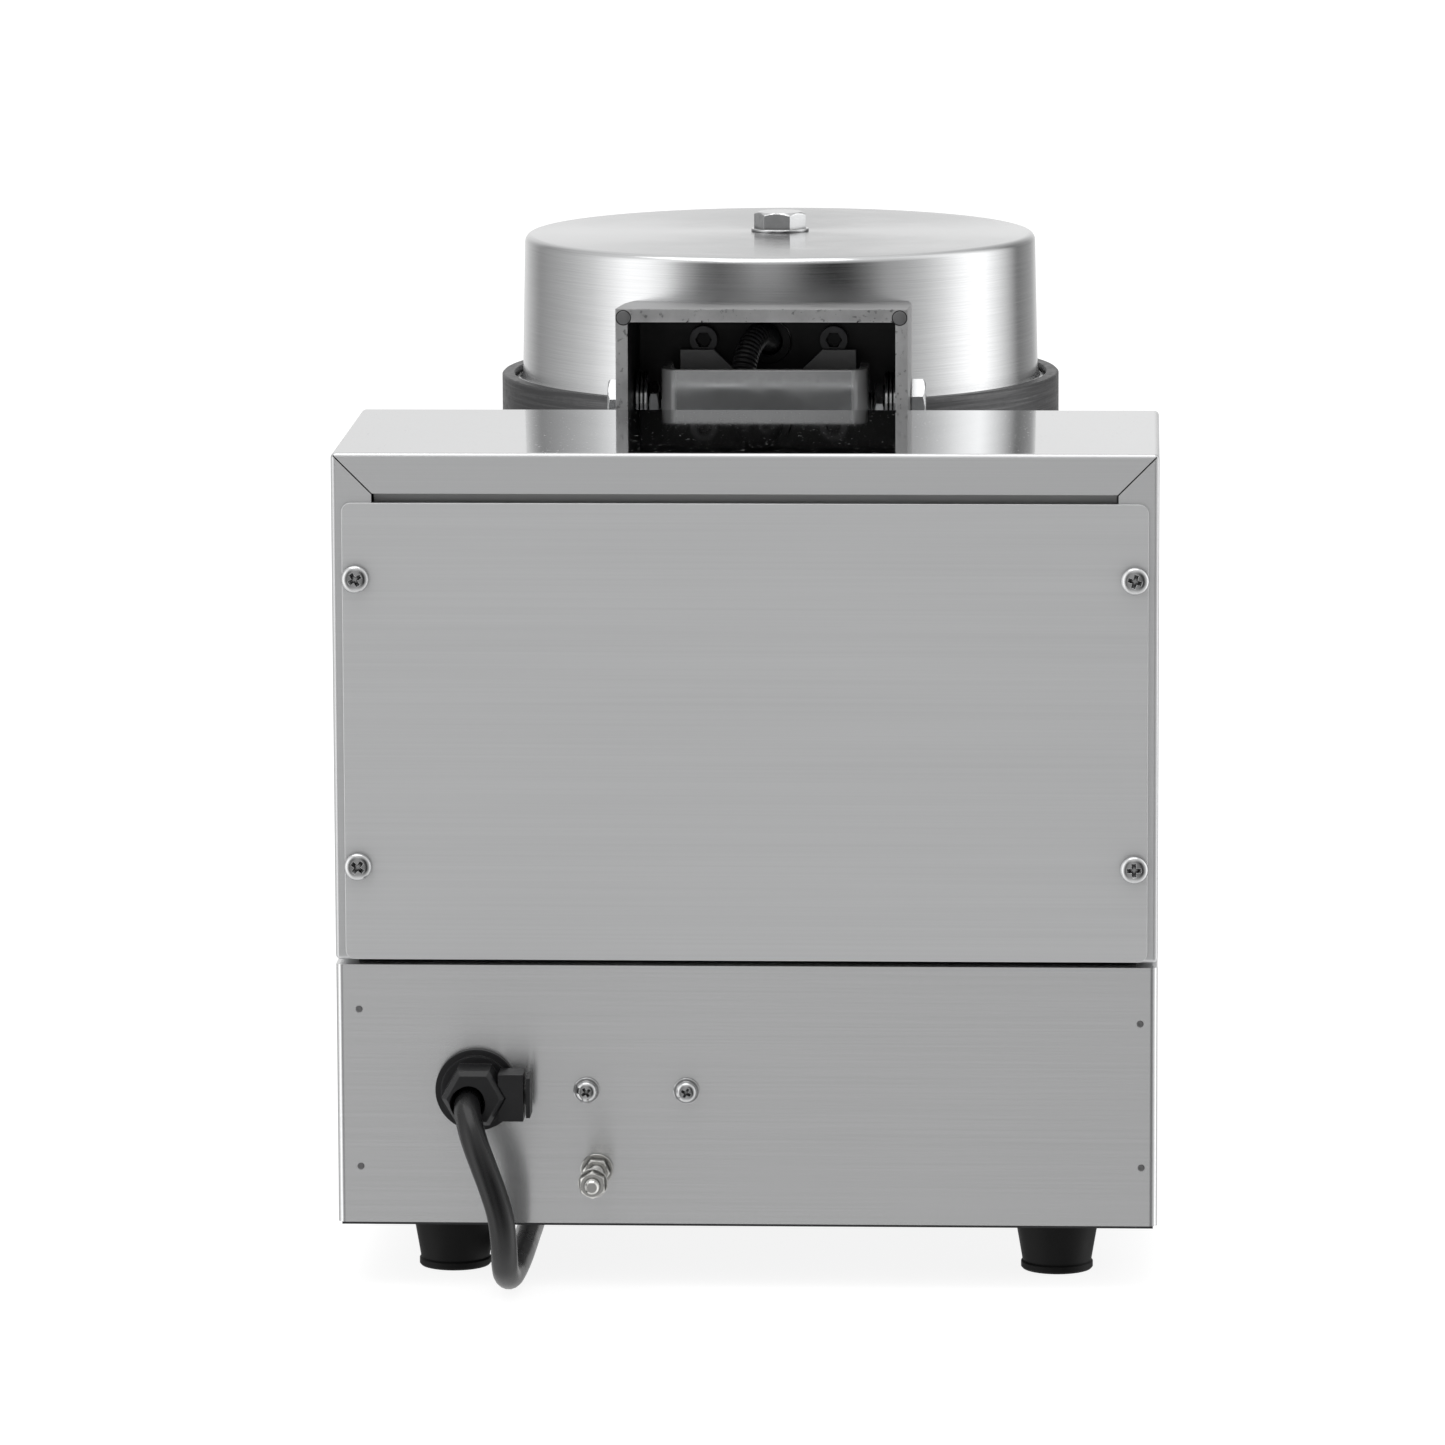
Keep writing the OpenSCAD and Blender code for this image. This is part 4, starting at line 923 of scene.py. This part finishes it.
# flexible conduit with ribs
conduit_path = [
    (0, 204.5, 297.0), (0.5, 196.0, 299.2), (3.2, 186.5, 300.6), (6.4, 179.0, 296.0),
    (8.2, 173.0, 286.0), (9, 171.0, 270.5), (10, 171.0, 252.5), (10, 171.0, 220.0),
]
CONDUIT_R, RIB, RIB_PITCH, RIB_SIDES = 0.00425, 0.00022, 0.0016, 24
line = smooth_path([tuple(pt(*p)) for p in conduit_path], 72)
b = Build()
levels, run = [], 0.0
across = Vector((1, 0.1, 0.1))
for i, p in enumerate(line):
    before, after = line[max(i - 1, 0)], line[min(i + 1, len(line) - 1)]
    run += (p - before).length
    along = (after - before).normalized()
    u = along.cross(across).normalized()
    v = along.cross(u)
    r = CONDUIT_R + RIB * math.cos(2 * math.pi * run / RIB_PITCH)
    turns = [2 * math.pi * k / RIB_SIDES for k in range(RIB_SIDES)]
    levels.append([p + r * (math.cos(a) * u + math.sin(a) * v) for a in turns])
b.rings(levels)
tube = piece("wiring_conduit", b.mesh("conduit", 60), mat_conduit, None, ["conduit"])
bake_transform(tube)

# ---------------------------------------------------------------- CAD nodes that keep their shape

finish_of = {
    mat_wrap: ["base_shell"], mat_dark: ["bottom_plate"], mat_rubber: ["feet", "tower_gasket", "arm_grommet"],
    mat_zinc: ["foot_screws", "tower_bolts", "arm_bolts", "lug_bolts", "bracket_screws"],
    mat_blackscrew: ["frame_screws", "handle_screws"], mat_ceramic: ["terminal_block"],
    mat_gland: ["gland_body", "gland_clamp", "gland_nut", "conduit_nut"],
    mat_plug: ["plug_body"], mat_pin: ["plug_pins"],
    mat_fascia: ["control_panel"], mat_switch: ["switch_housing"], mat_red: ["switch_rocker"],
    mat_green: ["power_lamp"], mat_amber: ["heat_lamp"], mat_knob: ["thermostat_knob", "timer_knob"],
    mat_control: ["thermostat_body", "timer_body"],
    mat_tray: ["drip_tray", "tray_rails"], mat_arm: ["support_arm"],
    mat_mould: ["upper_mould", "lower_mould"], mat_heater: ["upper_heater", "lower_heater"],
    mat_frame: ["hinge_frame"], mat_notch: ["notch_plate"], mat_rod: ["handle_rod"],
    mat_grip: ["handle_grip"], mat_handle: ["handle_bracket"],
}
for m, names in finish_of.items():
    for n in names:
        o = nodes[n]
        o.data.materials.clear()
        o.data.materials.append(m)

# ---------------------------------------------------------------- front panel marks

FASCIA_D, FASCIA_T = 410.0, 1.2
FRONT = FASCIA_D + FASCIA_T
DIALS = (
    ("thermostat_knob", 12.0, ["0", "50", "100", "150", "200", "250", "300"], 270.0),
    ("timer_knob", 82.0, ["0", "1", "2", "3", "4", "5"], 300.0),
)
marks = Build()


def bar(x, z, ang, r0, r1, w):
    """Radial mark on the fascia, reaching w to each side of its line."""
    a = math.radians(ang)
    u, v = (math.sin(a), math.cos(a)), (math.cos(a), -math.sin(a))
    out = []
    for r, s in ((r0, -w), (r0, w), (r1, w), (r1, -w)):
        out.append((x + u[0] * r + v[0] * s, z + u[1] * r + v[1] * s))
    marks.prism(out, lambda p, q, s: pt(p, FRONT - 0.02 + 0.14 * s, q))


def numeral(text, x, z, size):
    """A dial number on the fascia, as a thin mesh."""
    cu = bpy.data.curves.new("num", "FONT")
    cu.body = text
    cu.size = size / 1000
    cu.align_x = "CENTER"
    cu.align_y = "CENTER"
    cu.extrude = 0.00006
    cu.resolution_u = 2
    o = bpy.data.objects.new("num", cu)
    bpy.context.scene.collection.objects.link(o)
    dg = bpy.context.evaluated_depsgraph_get()
    me = bpy.data.meshes.new_from_object(o.evaluated_get(dg))
    mtx = Matrix.Translation(pt(x, FRONT + 0.04, z)) @ Matrix.Rotation(math.pi / 2, 4, "X")
    marks.add([mtx @ v.co for v in me.vertices], [tuple(q.vertices) for q in me.polygons])
    bpy.data.objects.remove(o)


for name, cxp, labels, sweep in DIALS:
    k = len(labels) - 1
    for i in range(k * 5 + 1):
        ang = -sweep / 2 + sweep * i / (k * 5)
        big = i % 5 == 0
        bar(cxp, CONTROLS_Z, ang, 23.4, 26.0 if big else 24.8, 0.35 if big else 0.18)
    for i, text in enumerate(labels):
        a = math.radians(-sweep / 2 + sweep * i / k)
        numeral(text, cxp + 30.0 * math.sin(a), CONTROLS_Z + 29.2 * math.cos(a), 4.6)
piece("dial_marks", marks.mesh("marks"), mat_mark, "machine")


def on_rocker(x, z, lift=0.1):
    """Point of the rocker's face, which is lowest at its middle, lift above it in mm."""
    tilt = Matrix.Translation(pt(-92, 407, CONTROLS_Z)) @ Matrix.Rotation(math.radians(8), 4, "X")
    face = -7.95 - 0.352 * (abs(z) - 11.4)
    return tilt @ (Vector((x, face - lift, z)) / 1000)


b = Build()
stroke = [(-0.5, 6.6), (0.5, 6.6), (0.5, 2.6), (-0.5, 2.6)]
b.add([on_rocker(x, z, lift) for lift in (0.1, -0.4) for x, z in stroke],
      [(0, 1, 2, 3), (7, 6, 5, 4), (0, 4, 5, 1), (1, 5, 6, 2), (2, 6, 7, 3), (3, 7, 4, 0)])
ring = []
for k in range(24):
    a = 2 * math.pi * k / 24
    ring += [on_rocker(r * math.cos(a), -4.6 + r * math.sin(a)) for r in (1.5, 2.2)]
b.add(ring, [(2 * k, 2 * k + 1, (2 * k + 3) % 48, (2 * k + 2) % 48) for k in range(24)])
piece("switch_marks", b.mesh("switch_marks"), mat_mark, "switch_rocker")

# pointer lines on the knobs
KNOB_H = 23.1
for name, cxp, labels, sweep in DIALS:
    b = Build()
    x0, x1, z0, z1 = cxp - 0.45, cxp + 0.45, CONTROLS_Z + 9.4, CONTROLS_Z + 15.4
    b.prism([(x0, z0), (x1, z0), (x1, z1), (x0, z1)],
            lambda p, q, s: pt(p, FRONT + KNOB_H + 0.35 * s, q))
    piece(name + "_line", b.mesh("line"), mat_mark, name)

# ---------------------------------------------------------------- floor, light, world

floor_mesh = bpy.data.meshes.new("floor")
floor_mesh.from_pydata([(-30, -30, 0), (30, -30, 0), (30, 30, 0), (-30, 30, 0)], [], [(0, 1, 2, 3)])
floor = bpy.data.objects.new("floor", floor_mesh)
bpy.context.scene.collection.objects.link(floor)
fm, _, fb = material("floor_white")
fb.inputs["Base Color"].default_value = (0.26, 0.26, 0.26, 1)
fb.inputs["Roughness"].default_value = 0.9
fb.inputs["Specular IOR Level"].default_value = 0.0
fb.inputs["Emission Color"].default_value = (1, 1, 1, 1)
fb.inputs["Emission Strength"].default_value = 0.88
floor_mesh.materials.append(fm)
floor.visible_glossy = False


light_data = bpy.data.lights.new("top_light", "AREA")
light_data.shape = "RECTANGLE"
light_data.size = light_data.size_y = 2.6
light_data.energy = 30
light = bpy.data.objects.new("top_light", light_data)
bpy.context.scene.collection.objects.link(light)
light.location = (0.4, 0.2, 3.2)
light.rotation_mode = "QUATERNION"
light.rotation_quaternion = (Vector((0, 0, 0.2)) - light.location).to_track_quat("-Z", "Y")

world = bpy.data.worlds.new("studio")
bpy.context.scene.world = world
world.use_nodes = True
wt = world.node_tree
wt.nodes.clear()
co = wt.nodes.new("ShaderNodeTexCoord").outputs["Generated"]
sep = wt.nodes.new("ShaderNodeSeparateXYZ")
wt.links.new(co, sep.inputs[0])
# azimuth 0 behind the photographer's camera (+Y), growing towards the picture's right (-X)
az = math_node(wt, "ARCTAN2", math_node(wt, "MULTIPLY", sep.outputs[0], -1.0), sep.outputs[1])
az = math_node(wt, "MULTIPLY_ADD", az, 0.5 / math.pi, 0.5)
ramp = wt.nodes.new("ShaderNodeValToRGB")
wt.links.new(az, ramp.inputs[0])
# degrees and brightness: soft light from both sides, dark between them
stops = [
    (-180, 0.92), (-158, 0.72), (-136, 0.34), (-118, 0.48), (-104, 0.62), (-91, 0.82), (-80, 1.15),
    (-70, 1.5), (-60, 1.42), (-51, 1.12), (-42, 0.55), (-33, 0.22), (-25, 0.14), (-16, 0.24),
    (-8, 0.38), (0, 0.36), (8, 0.23), (16, 0.08), (25, 0.02), (33, 0.06), (42, 0.20), (51, 0.42),
    (60, 0.52), (70, 0.70), (80, 0.98), (91, 1.40), (104, 1.7), (118, 1.05), (136, 0.22),
    (157, 0.4), (180, 0.92),
]
elements = ramp.color_ramp.elements
while len(elements) > 1:
    elements.remove(elements[-1])
for i, (degrees, v) in enumerate(stops):
    place = (degrees + 180) / 360
    e = elements.new(place) if i else elements[0]
    e.position = place
    e.color = (v, v, v, 1)
steep = math_node(wt, "ABSOLUTE", sep.outputs[2])
sky = mix_color(wt, mapped(wt, steep, 0.0, 1.0, 0.35, 0.95), ramp.outputs[0], (0.9, 0.9, 0.9))
bg = wt.nodes.new("ShaderNodeBackground")
wt.links.new(sky, bg.inputs[0])
bg.inputs[1].default_value = 1.0
out = wt.nodes.new("ShaderNodeOutputWorld")
wt.links.new(bg.outputs[0], out.inputs[0])

bpy.context.scene.view_settings.view_transform = "Standard"
bpy.context.scene.view_settings.look = "None"
